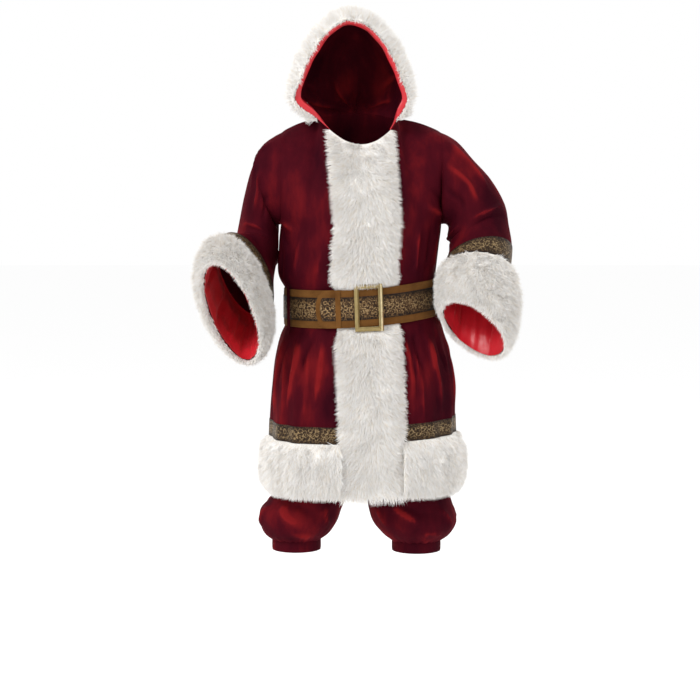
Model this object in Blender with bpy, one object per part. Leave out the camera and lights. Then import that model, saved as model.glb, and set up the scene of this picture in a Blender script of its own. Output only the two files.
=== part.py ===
"""A worn santa suit: hooded coat with fur trim, belt and knee trousers, as cut pieces of cloth.

Metres, +Z up, the front towards -Y. The origin is the base of the neck, where the wearer carries
the coat. "Right" and "left" are the wearer's: the right side is at -X.
"""
import math
from collections import namedtuple

import bpy
import bmesh
import numpy as np

# ---------------------------------------------------------------- driving sizes
CLOTH = 0.0020  # velvet with its backing
SATIN = 0.0010
TRIM = 0.0011  # brocade ribbon
STRAP = 0.0034  # belt leather
GAP = 0.0003  # between pieces that touch
TURN_GAP = 0.0014  # at the armhole and the neckline, where one piece doubles back over another
FUR_REACH = 0.030  # pile of a fur band at its middle
FUR_HALF = 0.084  # half width of the band down the front
BELT_SQUEEZE = 0.0060  # fur height left under the belt
ROUNDNESS = 2.3  # power of the body's oval sections

FRONT_COLUMNS = 9  # strips from the centre front to a side seam
BACK_COLUMNS = 9
YOKE_ROWS = 8  # strips from the armpit to the shoulder
NECK_COLUMN = 4  # column at the side of the neck
SLEEVE_COLUMNS = 2 * YOKE_ROWS
HOOD_LIFTS = (0, 7, 18, 31, 44, 57, 69, 80, 90)  # degrees up one half of the hood's arch

# Coat sections from the hem up to the armpits. A tilted one climbs to +X, and its ends turn up.
TILT_BOW = 3.6
Ring = namedtuple("Ring", "name z half front back middle turn tilt")
COAT_RINGS = (
    Ring("hem", -1.010, 0.2550, 0.200, 0.192, 0.005, 7.0, 0.000),
    Ring("fur_middle", -0.940, 0.2535, 0.198, 0.190, 0.005, 7.0, 0.010),
    Ring("brocade_foot", -0.869, 0.2515, 0.195, 0.186, 0.005, 7.0, 0.025),
    Ring("brocade_head", -0.823, 0.2500, 0.192, 0.182, 0.005, 7.0, 0.025),
    Ring("thigh", -0.725, 0.2465, 0.186, 0.174, 0.004, 7.0, 0.030),
    Ring("hip", -0.640, 0.2370, 0.176, 0.164, 0.000, 7.0, 0.045),
    Ring("under_belt", -0.576, 0.2210, 0.165, 0.150, 0.000, 7.0, 0.064),
    Ring("belt_foot", -0.554, 0.2110, 0.158, 0.141, 0.000, 7.0, 0.064),
    Ring("belt_head", -0.451, 0.2080, 0.155, 0.138, -0.003, 7.0, 0.064),
    Ring("over_belt", -0.428, 0.2160, 0.160, 0.144, -0.009, 7.0, 0.055),
    Ring("chest", -0.350, 0.2215, 0.160, 0.146, -0.007, 6.5, 0.02),
    Ring("armpit", -0.278, 0.2220, 0.155, 0.142, 0.000, 6.0, 0.00),
)
Neck = namedtuple("Neck", "middle turn half front back z_front z_side z_back")
NECK = Neck(-0.008, 4.0, 0.112, 0.100, 0.085, -0.062, 0.012, 0.030)
SHOULDER_POINT = (0.220, 0.004, -0.024)
SHOULDER_ARCH = 0.006
# How far the yoke swells from a straight run between armpit and shoulder: at the centre line,
# and at the armhole's edge.
SWELL_FRONT = (0.014, 0.082)
SWELL_BACK = (0.022, 0.078)

# Soft folds of the skirt, in degrees round from the front towards +X.
Fold = namedtuple("Fold", "angle width depth z_top z_full")
SKIRT_FOLDS = (
    Fold(36, 7, 0.009, -0.60, -0.80),
    Fold(58, 8, 0.011, -0.57, -0.78),
    Fold(84, 9, 0.010, -0.58, -0.85),
    Fold(118, 9, 0.012, -0.60, -0.84),
    Fold(152, 10, 0.011, -0.58, -0.80),
    Fold(186, 9, 0.013, -0.60, -0.86),
    Fold(222, 10, 0.011, -0.58, -0.82),
    Fold(258, 9, 0.012, -0.60, -0.84),
    Fold(288, 8, 0.010, -0.57, -0.78),
    Fold(312, 7, 0.012, -0.58, -0.76),
)

# Sleeve sections from the shoulder out: centre, the half towards the outer line, the other half.
Cuff = namedtuple("Cuff", "name x y z out_x out_y out_z wide")
SLEEVE_RIGHT = (
    Cuff("cap", -0.2530, 0.000, -0.1710, -0.0180, 0.000, 0.1090, 0.083),
    Cuff("upper_arm", -0.2660, 0.002, -0.2070, -0.0350, 0.000, 0.0850, 0.086),
    Cuff("arm", -0.2770, 0.004, -0.2540, -0.0460, 0.000, 0.0560, 0.088),
    Cuff("above_elbow", -0.2850, 0.004, -0.3050, -0.0540, 0.000, 0.0300, 0.093),
    Cuff("elbow", -0.2925, -0.006, -0.3500, -0.0595, 0.006, 0.0060, 0.106),
    Cuff("forearm", -0.3100, -0.036, -0.3900, -0.0610, 0.018, 0.0000, 0.126),
    Cuff("brocade", -0.3190, -0.068, -0.4180, -0.0690, 0.028, 0.0000, 0.146),
    Cuff("fur_head", -0.3300, -0.110, -0.4450, -0.0700, 0.034, 0.0000, 0.157),
    Cuff("fur_middle", -0.3400, -0.170, -0.4780, -0.0740, 0.040, 0.0000, 0.160),
    Cuff("mouth", -0.3470, -0.232, -0.5100, -0.0640, 0.038, 0.0000, 0.155),
)
SLEEVE_LEFT = (
    Cuff("cap", 0.2500, 0.000, -0.1640, 0.0150, 0.000, 0.1130, 0.085),
    Cuff("upper_arm", 0.2765, 0.000, -0.1935, 0.0330, 0.000, 0.0930, 0.087),
    Cuff("arm", 0.3000, -0.002, -0.2325, 0.0590, 0.000, 0.0775, 0.088),
    Cuff("above_elbow", 0.3210, -0.010, -0.2750, 0.0770, 0.010, 0.0500, 0.090),
    Cuff("elbow", 0.3265, -0.024, -0.3200, 0.0825, 0.020, 0.0300, 0.093),
    Cuff("brocade", 0.3250, -0.052, -0.3640, 0.0890, 0.022, 0.0075, 0.097),
    Cuff("fur_head", 0.3180, -0.080, -0.4010, 0.0830, 0.022, -0.0220, 0.098),
    Cuff("fur_middle", 0.3110, -0.122, -0.4850, 0.0840, 0.012, -0.0520, 0.097),
    Cuff("mouth", 0.3040, -0.162, -0.5560, 0.0750, 0.000, -0.0700, 0.090),
)

# The hood's arches from the face edge to the nape; each starts and ends on the neckline.
# The tuck is how many degrees of an arch its fold over the neckline takes up.
Arch = namedtuple("Arch", "name crown_y crown_z half tuck")
HOOD_ARCHES = (
    Arch("face_edge", -0.096, 0.275, 0.162, 18.0),
    Arch("fur_back", -0.038, 0.289, 0.165, 24.0),
    Arch("crown", 0.035, 0.285, 0.165, 26.0),
    Arch("back_crown", 0.108, 0.248, 0.152, 26.0),
    Arch("back", 0.156, 0.180, 0.127, 26.0),
    Arch("pouch", 0.158, 0.103, 0.087, 26.0),
)
HOOD_POWER = 1.8
HOOD_LEAN = -0.028  # the hood's middle line, above the neck
HOOD_LEAN_TURN = 20.0  # degrees of the arch over which the lean comes in

# Trouser sections. Above the crotch each leg's piece is half of the body.
Seat = namedtuple("Seat", "z half front back")
TROUSER_SEATS = (
    Seat(-0.505, 0.168, 0.112, 0.104),
    Seat(-0.560, 0.176, 0.120, 0.116),
    Seat(-0.640, 0.192, 0.126, 0.132),
    Seat(-0.730, 0.204, 0.122, 0.134),
)
Leg = namedtuple("Leg", "z middle half front back")
LEG_RIGHT = (
    Leg(-0.812, -0.108, 0.1065, 0.112, 0.122),
    Leg(-0.900, -0.119, 0.1050, 0.108, 0.114),
    Leg(-0.990, -0.132, 0.1040, 0.106, 0.108),
    Leg(-1.048, -0.149, 0.1060, 0.108, 0.106),
    Leg(-1.078, -0.169, 0.1130, 0.110, 0.104),
    Leg(-1.112, -0.176, 0.1080, 0.108, 0.102),
    Leg(-1.143, -0.181, 0.0900, 0.092, 0.086),
    Leg(-1.160, -0.182, 0.0680, 0.068, 0.064),
)
LEG_LEFT = (
    Leg(-0.812, 0.1085, 0.1065, 0.112, 0.122),
    Leg(-0.900, 0.1160, 0.1080, 0.108, 0.114),
    Leg(-0.990, 0.1250, 0.1120, 0.108, 0.108),
    Leg(-1.048, 0.1350, 0.1170, 0.110, 0.106),
    Leg(-1.078, 0.1420, 0.1195, 0.112, 0.106),
    Leg(-1.116, 0.1520, 0.1160, 0.110, 0.102),
    Leg(-1.148, 0.1560, 0.0900, 0.090, 0.084),
    Leg(-1.163, 0.1560, 0.0680, 0.068, 0.064),
)
LEG_COLUMNS = 16
BAND_DEPTH = 0.030
WAISTBAND_DEPTH = 0.036

# Belt fittings, measured along the belt's front from its centre.
RIBBON_MARGIN = 0.020  # leather left bare above and below the ribbon
TONGUE = (-0.138, 0.030)
KEEPER = (-0.086, -0.073)
BUCKLE_HALF_WIDTH = 0.039
BUCKLE_HALF_HEIGHT = 0.064
BUCKLE_BAR = 0.0125
BUCKLE_DEPTH = 0.0055
ROD_RADIUS = 0.0036
LOOP_WIDTH = 0.014

VELVET = ("velvet", (0.20, 0.012, 0.022), 0.0, 0.85)
FUR = ("fur", (0.90, 0.88, 0.84), 0.0, 0.95)
RED_SATIN = ("satin", (0.55, 0.015, 0.02), 0.0, 0.35)
BROCADE = ("brocade", (0.24, 0.17, 0.07), 0.35, 0.50)
LEATHER = ("leather", (0.17, 0.075, 0.025), 0.0, 0.70)
BRASS = ("brass", (0.62, 0.48, 0.22), 1.0, 0.28)


# ---------------------------------------------------------------- helpers
def turned(x, y, degrees):
    """The point (x, y) turned about the upright axis."""
    angle = math.radians(degrees)
    return x * math.cos(angle) - y * math.sin(angle), x * math.sin(angle) + y * math.cos(angle)


def blend(a, b, share):
    return np.asarray(a) * (1 - share) + np.asarray(b) * share


def ease(value):
    """0 below 0, 1 above 1, smooth between."""
    value = min(max(value, 0.0), 1.0)
    return value * value * (3 - 2 * value)


def power(value, exponent):
    return math.copysign(abs(value) ** exponent, value)


def unit(vector):
    return np.asarray(vector) / np.linalg.norm(vector)


def material(finish):
    name, colour, metallic, roughness = finish
    found = bpy.data.materials.get(name)
    if found is None:
        found = bpy.data.materials.new(name)
        found.use_nodes = True
        shader = found.node_tree.nodes["Principled BSDF"]
        shader.inputs["Base Color"].default_value = (*colour, 1)
        shader.inputs["Metallic"].default_value = metallic
        shader.inputs["Roughness"].default_value = roughness
        found.diffuse_color = (*colour, 1)
    return found


def add_mesh(name, points, faces, finish, collection, smooth=True):
    mesh = bpy.data.meshes.new(name)
    mesh.from_pydata([tuple(point) for point in points], [], faces)
    mesh.materials.append(material(finish))
    mesh.update()
    if smooth:
        mesh.shade_smooth()
        mesh.set_sharp_from_angle(angle=math.radians(50))
    piece = bpy.data.objects.new(name, mesh)
    collection.objects.link(piece)
    return piece


def two_triangles(a, b, c, d):
    """A four-sided face as two triangles, always cut the same way, so that layers stay parallel."""
    return [(a, b, c), (a, c, d)]


class Sheet:
    """A grid of points, rows upwards and columns anticlockwise from above, so that it faces out."""

    def __init__(self, points, ring=False):
        self.points = np.asarray(points, float)
        self.ring = ring
        self.normals = np.zeros_like(self.points)

    def faces(self):
        rows, columns = self.points.shape[:2]
        for i in range(rows - 1):
            for j in range(columns if self.ring else columns - 1):
                k = (j + 1) % columns
                for face in two_triangles((i, j), (i, k), (i + 1, k), (i + 1, j)):
                    yield face

    def part(self, rows, columns=slice(None)):
        """Some of its rows and columns, with the same normals."""
        piece = Sheet(self.points[rows, columns], self.ring and columns == slice(None))
        piece.normals = self.normals[rows, columns]
        return piece


def share_normals(sheets):
    """Gives each point the average normal of every face of the sheets that meets there."""
    total = {}

    def key(point):
        return tuple(int(round(value * 1e6)) for value in point)

    for sheet in sheets:
        for face in sheet.faces():
            a, b, c = (sheet.points[corner] for corner in face)
            normal = np.cross(b - a, c - a)
            if np.linalg.norm(normal) < 1e-12:
                continue
            for corner, before, after in ((a, c, b), (b, a, c), (c, b, a)):
                one, other = before - corner, after - corner
                cosine = one @ other / (np.linalg.norm(one) * np.linalg.norm(other) + 1e-12)
                angle = math.acos(max(-1.0, min(1.0, cosine)))
                place = key(corner)
                total[place] = total.get(place, 0) + unit(normal) * angle
    for sheet in sheets:
        for index in np.ndindex(sheet.points.shape[:2]):
            sheet.normals[index] = unit(total[key(sheet.points[index])])


def joined(*sheets):
    """Sheets side by side, sharing their border columns, as one."""
    points = [sheets[0].points]
    normals = [sheets[0].normals]
    for sheet in sheets[1:]:
        points.append(sheet.points[:, 1:])
        normals.append(sheet.normals[:, 1:])
    whole = Sheet(np.concatenate(points, axis=1))
    whole.normals = np.concatenate(normals, axis=1)
    return whole


Gaps = namedtuple("Gaps", "bottom top start end", defaults=(GAP, GAP, GAP, GAP))


def pulled_in(points, ring, gaps):
    """The grid with its open borders moved in by half of each seam's gap."""
    moved = points.copy()

    def pull(border, inner, gap):
        step = inner - border
        length = np.linalg.norm(step, axis=-1, keepdims=True)
        return step / np.maximum(length, 1e-9) * gap / 2

    moved[0] += pull(points[0], points[1], gaps.bottom)
    moved[-1] += pull(points[-1], points[-2], gaps.top)
    if not ring:
        moved[:, 0] += pull(points[:, 0], points[:, 1], gaps.start)
        moved[:, -1] += pull(points[:, -1], points[:, -2], gaps.end)
    return moved


def add_wall(name, sheet, inner, outer, finish, collection, gaps=Gaps()):
    """A closed wall between two heights over a sheet. A height is a number or one for each point."""
    base = pulled_in(sheet.points, sheet.ring, gaps)
    rows, columns = base.shape[:2]
    low = base + sheet.normals * np.broadcast_to(inner, (rows, columns))[..., None]
    high = base + sheet.normals * np.broadcast_to(outer, (rows, columns))[..., None]
    points = np.concatenate([high.reshape(-1, 3), low.reshape(-1, 3)])
    under = rows * columns

    def at(corner, layer=0):
        return corner[0] * columns + corner[1] + layer * under

    faces = []
    for a, b, c in sheet.faces():
        faces.append((at(a), at(b), at(c)))
        faces.append((at(c, 1), at(b, 1), at(a, 1)))
    border = []
    last = columns if sheet.ring else columns - 1
    for j in range(last):
        k = (j + 1) % columns
        border.append(((0, k), (0, j)))
        border.append(((rows - 1, j), (rows - 1, k)))
    if not sheet.ring:
        for i in range(rows - 1):
            border.append(((i, 0), (i + 1, 0)))
            border.append(((i + 1, columns - 1), (i, columns - 1)))
    for a, b in border:
        faces.extend(two_triangles(at(a), at(b), at(b, 1), at(a, 1)))
    piece = add_mesh(name, points, faces, finish, collection)
    clean(piece.data)
    return piece


def clean(mesh):
    """Joins points that lie together, as at the pole of a hood."""
    work = bmesh.new()
    work.from_mesh(mesh)
    bmesh.ops.remove_doubles(work, verts=work.verts, dist=1e-7)
    bmesh.ops.dissolve_degenerate(work, edges=work.edges, dist=1e-7)
    work.to_mesh(mesh)
    work.free()


def with_lip(sheet, length):
    """The sheet with one more row past its first, straight on by the length: hair beyond an edge."""
    first, second = sheet.points[0], sheet.points[1]
    step = first - second
    step = step / np.linalg.norm(step, axis=1, keepdims=True) * length
    longer = Sheet(np.concatenate([[first + step], sheet.points]), sheet.ring)
    longer.normals = np.concatenate([[sheet.normals[0]], sheet.normals])
    return longer


# ---------------------------------------------------------------- the coat's surface
def fold_height(degrees, z):
    """How far the skirt's folds stand out at an angle round the body and a height."""
    height = 0.0
    for fold in SKIRT_FOLDS:
        away = (degrees - fold.angle + 180) % 360 - 180
        share = ease((fold.z_top - z) / (fold.z_top - fold.z_full))
        height += fold.depth * share * math.exp(-((away / fold.width) ** 2))
    return height


def front_angle(column, half):
    """The angle of a front column: the fur's edge is one of them, at a fixed distance."""
    edge_column = 2
    if column <= edge_column:
        return math.asin((FUR_HALF * column / edge_column / half) ** (ROUNDNESS / 2))
    start = front_angle(edge_column, half)
    return start + (math.pi / 2 - start) * (column - edge_column) / (FRONT_COLUMNS - edge_column)


def ring_point(ring, angle):
    """A point of a coat section, at an angle from the front towards +X."""
    x = ring.half * power(math.sin(angle), 2 / ROUNDNESS)
    depth = ring.front if math.cos(angle) > 0 else ring.back
    y = -depth * power(math.cos(angle), 2 / ROUNDNESS)
    out = 1 + fold_height(math.degrees(angle), ring.z) / math.hypot(x, y)
    x, y = turned(x * out, y * out, ring.turn)
    x += ring.middle
    return np.array([x, y, ring.z + ring.tilt * (x + TILT_BOW * x * x)])


def neck_point(side, angle):
    """A point of the neckline, at an angle from the front towards one side."""
    x = NECK.half * math.sin(angle)
    cosine = math.cos(angle)
    y = -(NECK.front if cosine > 0 else NECK.back) * cosine
    end = NECK.z_front if cosine > 0 else NECK.z_back
    x, y = turned(side * x, y, NECK.turn)
    return np.array([x + NECK.middle, y, NECK.z_side + (end - NECK.z_side) * cosine * cosine])


def neck_angle(column, front):
    """The neckline's columns: in front the second lies at the fur's edge."""
    if not front:
        return math.pi - math.pi / 2 * column / NECK_COLUMN
    edge_column = 2
    if column <= edge_column:
        return math.asin(FUR_HALF * column / edge_column / NECK.half)
    start = neck_angle(edge_column, True)
    return start + (math.pi / 2 - start) * (column - edge_column) / (NECK_COLUMN - edge_column)


def top_point(side, column, front):
    """The yoke's upper edge: the neckline, then the shoulder seam out to the shoulder point."""
    if column <= NECK_COLUMN:
        return neck_point(side, neck_angle(column, front))
    share = (column - NECK_COLUMN) / (FRONT_COLUMNS - NECK_COLUMN)
    end = (side * SHOULDER_POINT[0], SHOULDER_POINT[1], SHOULDER_POINT[2])
    point = blend(neck_point(side, math.pi / 2), end, share)
    point[2] += SHOULDER_ARCH * math.sin(math.pi * share)
    return point


def lower_point(side, column, front, ring):
    if front:
        angle = front_angle(column, ring.half)
    else:
        angle = math.pi - math.pi / 2 * column / BACK_COLUMNS
    return ring_point(ring, side * angle)


def yoke_point(side, column, front, row):
    """A point between the armpit's level and the shoulder. The outer column is the armhole."""
    turn = math.pi * row / YOKE_ROWS
    share = (1 - math.cos(turn)) / 2
    across = column / FRONT_COLUMNS
    low = lower_point(side, column, front, COAT_RINGS[-1])
    point = blend(low, top_point(side, column, front), share)
    centre, edge = SWELL_FRONT if front else SWELL_BACK
    swell = (centre + (edge - centre) * across**1.5) * math.sin(turn) ** (2 - across**6)
    point[1] += -swell if front else swell
    return point


def coat_panel(side, front):
    """Half of the front or back, from the centre line to the side seam and the armhole."""
    columns = FRONT_COLUMNS if front else BACK_COLUMNS
    rows = [[lower_point(side, c, front, ring) for c in range(columns + 1)] for ring in COAT_RINGS]
    for row in range(1, YOKE_ROWS + 1):
        rows.append([yoke_point(side, c, front, row) for c in range(columns + 1)])
    points = np.array(rows)
    # The columns run anticlockwise from above on every panel.
    forwards = (side > 0) == front
    return Sheet(points if forwards else points[:, ::-1])


def ring_row(name):
    return [ring.name for ring in COAT_RINGS].index(name)


# ---------------------------------------------------------------- sleeves
def armhole_loop(side):
    """The armhole's points, from the shoulder round: behind first on the right, in front on the left."""
    outer = FRONT_COLUMNS
    down = [yoke_point(side, outer, side > 0, YOKE_ROWS - row) for row in range(YOKE_ROWS + 1)]
    up = [yoke_point(side, outer, side < 0, row) for row in range(1, YOKE_ROWS)]
    return np.array(down + up)


def sleeve_sheet(side, cuffs):
    loop = armhole_loop(side)
    centres = [loop.mean(axis=0)] + [np.array([cuff.x, cuff.y, cuff.z]) for cuff in cuffs]
    rows = [loop]
    for index, cuff in enumerate(cuffs, start=1):
        ahead = centres[min(index + 1, len(cuffs))] - centres[index - 1]
        out = np.array([cuff.out_x, cuff.out_y, cuff.out_z])
        across = unit(np.cross(ahead, out)) * cuff.wide
        row = []
        for column in range(SLEEVE_COLUMNS):
            angle = 2 * math.pi * column / SLEEVE_COLUMNS
            row.append(centres[index] + out * math.cos(angle) + across * math.sin(angle))
        rows.append(row)
    return Sheet(np.array(rows), ring=True)


def cuff_row(cuffs, name):
    return 1 + [cuff.name for cuff in cuffs].index(name)


# ---------------------------------------------------------------- hood
def neckline_side(side):
    """The neckline's points on one side, from the fur's edge round to the centre back."""
    front = [neck_point(side, neck_angle(column, True)) for column in range(2, NECK_COLUMN + 1)]
    back = [neck_point(side, neck_angle(column, False)) for column in range(NECK_COLUMN - 1, -1, -1)]
    return front + back


def hood_half(side):
    """One half of the hood, from its neckline foot up to the crown seam, face edge first."""
    feet = neckline_side(side)
    nape = feet[-1]
    rows = []
    for arch, foot in zip(HOOD_ARCHES, feet):
        row = []
        for lift in HOOD_LIFTS:
            angle = math.radians(lift)
            rise = math.sin(angle) ** (2 / HOOD_POWER)
            spread = max(math.cos(angle), 0.0) ** (2 / HOOD_POWER)
            loose = ease(lift / arch.tuck)
            foot_x = abs(foot[0] - NECK.middle)
            half = foot_x + (arch.half - foot_x) * loose
            middle = NECK.middle + (HOOD_LEAN - NECK.middle) * ease(lift / HOOD_LEAN_TURN)
            y = foot[1] + (arch.crown_y - foot[1]) * rise
            z = foot[2] + (arch.crown_z - foot[2]) * rise
            row.append((middle + side * half * spread, y, z))
        row[0] = tuple(foot)
        rows.append(row)
    rows.append([tuple(nape)] * len(HOOD_LIFTS))
    points = np.array(rows)
    # The columns run from -X over the crown to +X.
    return Sheet(points if side < 0 else points[:, ::-1])


# ---------------------------------------------------------------- trousers
def leg_sheet(side, legs):
    """One leg's piece: columns from the inseam or the centre front round the outside to the back."""
    rows = []
    for seat in TROUSER_SEATS:
        row = []
        for column in range(LEG_COLUMNS + 1):
            angle = math.pi * column / LEG_COLUMNS
            depth = seat.front if math.cos(angle) > 0 else seat.back
            x = side * (GAP + seat.half * power(math.sin(angle), 0.9))
            row.append((x, -depth * power(math.cos(angle), 0.9), seat.z))
        rows.append(row)
    for leg in legs:
        row = []
        for column in range(LEG_COLUMNS + 1):
            angle = 2 * math.pi * column / LEG_COLUMNS
            depth = leg.front if math.sin(angle) > 0 else leg.back
            x = leg.middle - side * leg.half * math.cos(angle)
            row.append((x, -depth * math.sin(angle), leg.z))
        rows.append(row)
    points = np.array(rows)
    return Sheet(points if side < 0 else points[::-1])


def hoop(z_low, z_high, middle, half, front, back, columns):
    """A short upright tube of cloth."""
    rows = []
    for z in (z_low, z_high):
        row = []
        for column in range(columns):
            angle = 2 * math.pi * column / columns
            depth = front if math.cos(angle) > 0 else back
            row.append((middle + half * math.sin(angle), -depth * math.cos(angle), z))
        rows.append(row)
    return Sheet(np.array(rows), ring=True)


# ---------------------------------------------------------------- fur heights
def band_heights(sheet, first, middle, last):
    """Fur heights over a band's rows: at its first edge, over its middle and at its last edge."""
    rows, columns = sheet.points.shape[:2]
    heights = np.full((rows, columns), middle)
    heights[0] = first
    heights[-1] = last
    return heights


def front_fur_heights(rows, columns):
    """Full pile down the middle, lower at the long edges, and pressed flat under the belt."""
    heights = np.full((rows, columns), FUR_REACH)
    heights[:, 0] *= 0.55
    heights[:, -1] *= 0.55
    heights[0] *= 0.60
    heights[-1] *= 0.60
    lip = 1
    for name, share in (("under_belt", 0.45), ("over_belt", 0.45)):
        heights[lip + ring_row(name)] *= share
    for name in ("belt_foot", "belt_head"):
        heights[lip + ring_row(name)] = BELT_SQUEEZE
    return heights


def belt_lift(columns_from_front):
    """How far the belt's inner face stands off the coat: over the fur in front, close elsewhere."""
    over_fur = CLOTH / 2 + BELT_SQUEEZE
    close = CLOTH / 2 + GAP
    return {0: over_fur, 1: over_fur, 2: over_fur, 3: 0.0042}.get(columns_from_front, close)


# ---------------------------------------------------------------- the pieces
def make_coat(collection):
    panels = {}
    for side, word in ((-1, "right"), (1, "left")):
        for front in (True, False):
            panels[word, "front" if front else "back"] = coat_panel(side, front)
    sleeves = {"right": sleeve_sheet(-1, SLEEVE_RIGHT), "left": sleeve_sheet(1, SLEEVE_LEFT)}
    hoods = {"right": hood_half(-1), "left": hood_half(1)}
    share_normals([*panels.values(), *sleeves.values(), *hoods.values()])
    half = CLOTH / 2

    back = joined(panels["left", "back"], panels["right", "back"])
    add_wall("coat_front_right", panels["right", "front"], -half, half, VELVET, collection)
    add_wall("coat_front_left", panels["left", "front"], -half, half, VELVET, collection)
    add_wall("coat_back", back, -half, half, VELVET, collection)

    for word, cuffs in (("right", SLEEVE_RIGHT), ("left", SLEEVE_LEFT)):
        sleeve = sleeves[word]
        add_wall("sleeve_" + word, sleeve, -half, half, VELVET, collection, Gaps(bottom=TURN_GAP))
        head, foot = cuff_row(cuffs, "brocade"), cuff_row(cuffs, "fur_head")
        end = len(cuffs)
        ribbon = sleeve.part(slice(head, foot + 1))
        add_wall("cuff_brocade_" + word, ribbon, half + GAP, half + GAP + TRIM, BROCADE, collection)
        facing = sleeve.part(slice(head, end + 1))
        add_wall("cuff_facing_" + word, facing, -half - GAP - SATIN, -half - GAP, RED_SATIN, collection)
        make_cuff_fur("cuff_fur_" + word, sleeve.part(slice(foot, end + 1)), collection)

    for word, gaps in (("right", Gaps(start=TURN_GAP)), ("left", Gaps(end=TURN_GAP))):
        add_wall("hood_" + word, hoods[word], -half, half, VELVET, collection, gaps)
    hood = joined(hoods["right"], hoods["left"])
    facing = hood.part(slice(0, 2))
    add_wall("hood_facing", facing, -half - GAP - SATIN, -half - GAP, RED_SATIN, collection)
    make_hood_fur(facing.part(slice(None), slice(1, -1)), collection)
    make_front_fur(joined(panels["right", "front"], panels["left", "front"]), collection)
    skirt = joined(panels["left", "front"].part(slice(None), slice(2, None)), back,
                   panels["right", "front"].part(slice(None), slice(0, FRONT_COLUMNS - 1)))
    make_hem(skirt, collection)
    whole = joined(panels["left", "front"], back, panels["right", "front"])
    make_belt(whole, collection)


def make_cuff_fur(name, sheet, collection):
    """Fur round a cuff: long on the outer side, shorter where it rests against the body."""
    flipped = Sheet(sheet.points[::-1], ring=True)
    flipped.normals = sheet.normals[::-1]
    band = with_lip(flipped, 0.012)
    heights = band_heights(band, 0.45 * FUR_REACH, 0.95 * FUR_REACH, 0.5 * FUR_REACH)
    heights[1] = 0.75 * FUR_REACH
    turn = 2 * math.pi * np.arange(SLEEVE_COLUMNS) / SLEEVE_COLUMNS
    heights = heights * (0.76 + 0.24 * np.cos(turn))
    band.points, band.normals = band.points[::-1], band.normals[::-1]
    heights = heights[::-1]
    add_wall(name, band, CLOTH / 2 + GAP, heights + CLOTH / 2, FUR, collection)


def make_hood_fur(sheet, collection):
    band = with_lip(sheet, 0.012)
    heights = band_heights(band, 0.5 * FUR_REACH, 0.95 * FUR_REACH, 0.6 * FUR_REACH)
    add_wall("hood_fur", band, CLOTH / 2 + GAP, heights, FUR, collection)


def make_front_fur(sheet, collection):
    """The band down the centre front, over both fronts, from the neck to just below the hem."""
    edge = FRONT_COLUMNS - 2
    band = with_lip(sheet.part(slice(None), slice(edge, edge + 5)), 0.016)
    heights = front_fur_heights(*band.points.shape[:2])
    add_wall("front_fur", band, CLOTH / 2 + GAP, heights, FUR, collection)


def make_hem(skirt, collection):
    """The hem's fur in three lengths, seamed at the sides, and the brocade above it."""
    foot, head = ring_row("brocade_foot"), ring_row("brocade_head")
    ribbon = skirt.part(slice(foot, head + 1))
    low = CLOTH / 2 + GAP
    add_wall("hem_brocade", ribbon, low, low + TRIM, BROCADE, collection)
    side = FRONT_COLUMNS - 2
    last = skirt.points.shape[1] - 1
    lengths = (("left", 0, side), ("back", side, last - side), ("right", last - side, last))
    for word, start, end in lengths:
        band = with_lip(skirt.part(slice(0, foot + 1), slice(start, end + 1)), 0.008)
        heights = band_heights(band, 0.5 * FUR_REACH, FUR_REACH, 0.5 * FUR_REACH)
        heights[1] = 0.9 * FUR_REACH
        add_wall("hem_fur_" + word, band, low, heights, FUR, collection)


# ---------------------------------------------------------------- belt
def make_belt(whole, collection):
    foot, head = ring_row("belt_foot"), ring_row("belt_head")
    band = Sheet(whole.points[foot:head + 1, :-1], ring=True)
    band.normals = whole.normals[foot:head + 1, :-1]
    columns = band.points.shape[1]
    lift = np.array([belt_lift(min(column, columns - column)) for column in range(columns)])
    add_wall("belt_strap", band, lift, lift + STRAP, LEATHER, collection)
    ribbon = narrowed(band, RIBBON_MARGIN)
    on_strap = lift + STRAP + GAP
    add_wall("belt_ribbon", ribbon, on_strap, on_strap + TRIM, BROCADE, collection)
    top = on_strap[0] + TRIM
    make_tongue(band, top, collection)
    make_buckle(band, top + GAP + STRAP + GAP + TRIM, collection)
    for word, column in (("left", FRONT_COLUMNS - 2), ("right", columns - FRONT_COLUMNS + 2)):
        make_loop("belt_loop_" + word, whole, column, collection)


def narrowed(sheet, margin):
    """A two-row sheet with both long edges moved in."""
    low, high = sheet.points
    step = unit_rows(high - low) * margin
    piece = Sheet(np.array([low + step, high - step]), sheet.ring)
    piece.normals = sheet.normals
    return piece


def unit_rows(vectors):
    return vectors / np.linalg.norm(vectors, axis=-1, keepdims=True)


def front_strip(band, start, end, tip=0.0):
    """A piece of the belt's front between two distances from its centre; the tip is rounded."""
    count = band.points.shape[1]
    order = [(count - 3 + k) % count for k in range(7)]
    middle = 3
    points, normals = band.points[:, order], band.normals[:, order]
    steps = np.linalg.norm(np.diff(points[0], axis=0), axis=1)
    along = np.concatenate([[0], np.cumsum(steps)])
    along -= along[middle]
    at_tip = [start + tip * share for share in (0.12, 0.35, 1.0)] if tip else []
    inside = [place for place in along if start + 0.002 < place < end - 0.002]
    places = np.array(sorted([start, end, *at_tip, *inside]))
    columns = len(places)
    rows = np.empty((2, columns, 3))
    facing = np.empty((2, columns, 3))
    for row in range(2):
        for axis in range(3):
            rows[row, :, axis] = np.interp(places, along, points[row, :, axis])
            facing[row, :, axis] = np.interp(places, along, normals[row, :, axis])
    if tip:
        centre = rows.mean(axis=0)
        share = np.clip((places - start) / tip, 0, 1) ** 0.5
        rows = centre + (rows - centre) * (0.30 + 0.70 * share)[None, :, None]
    piece = Sheet(rows)
    piece.normals = unit_rows(facing)
    return piece


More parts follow.
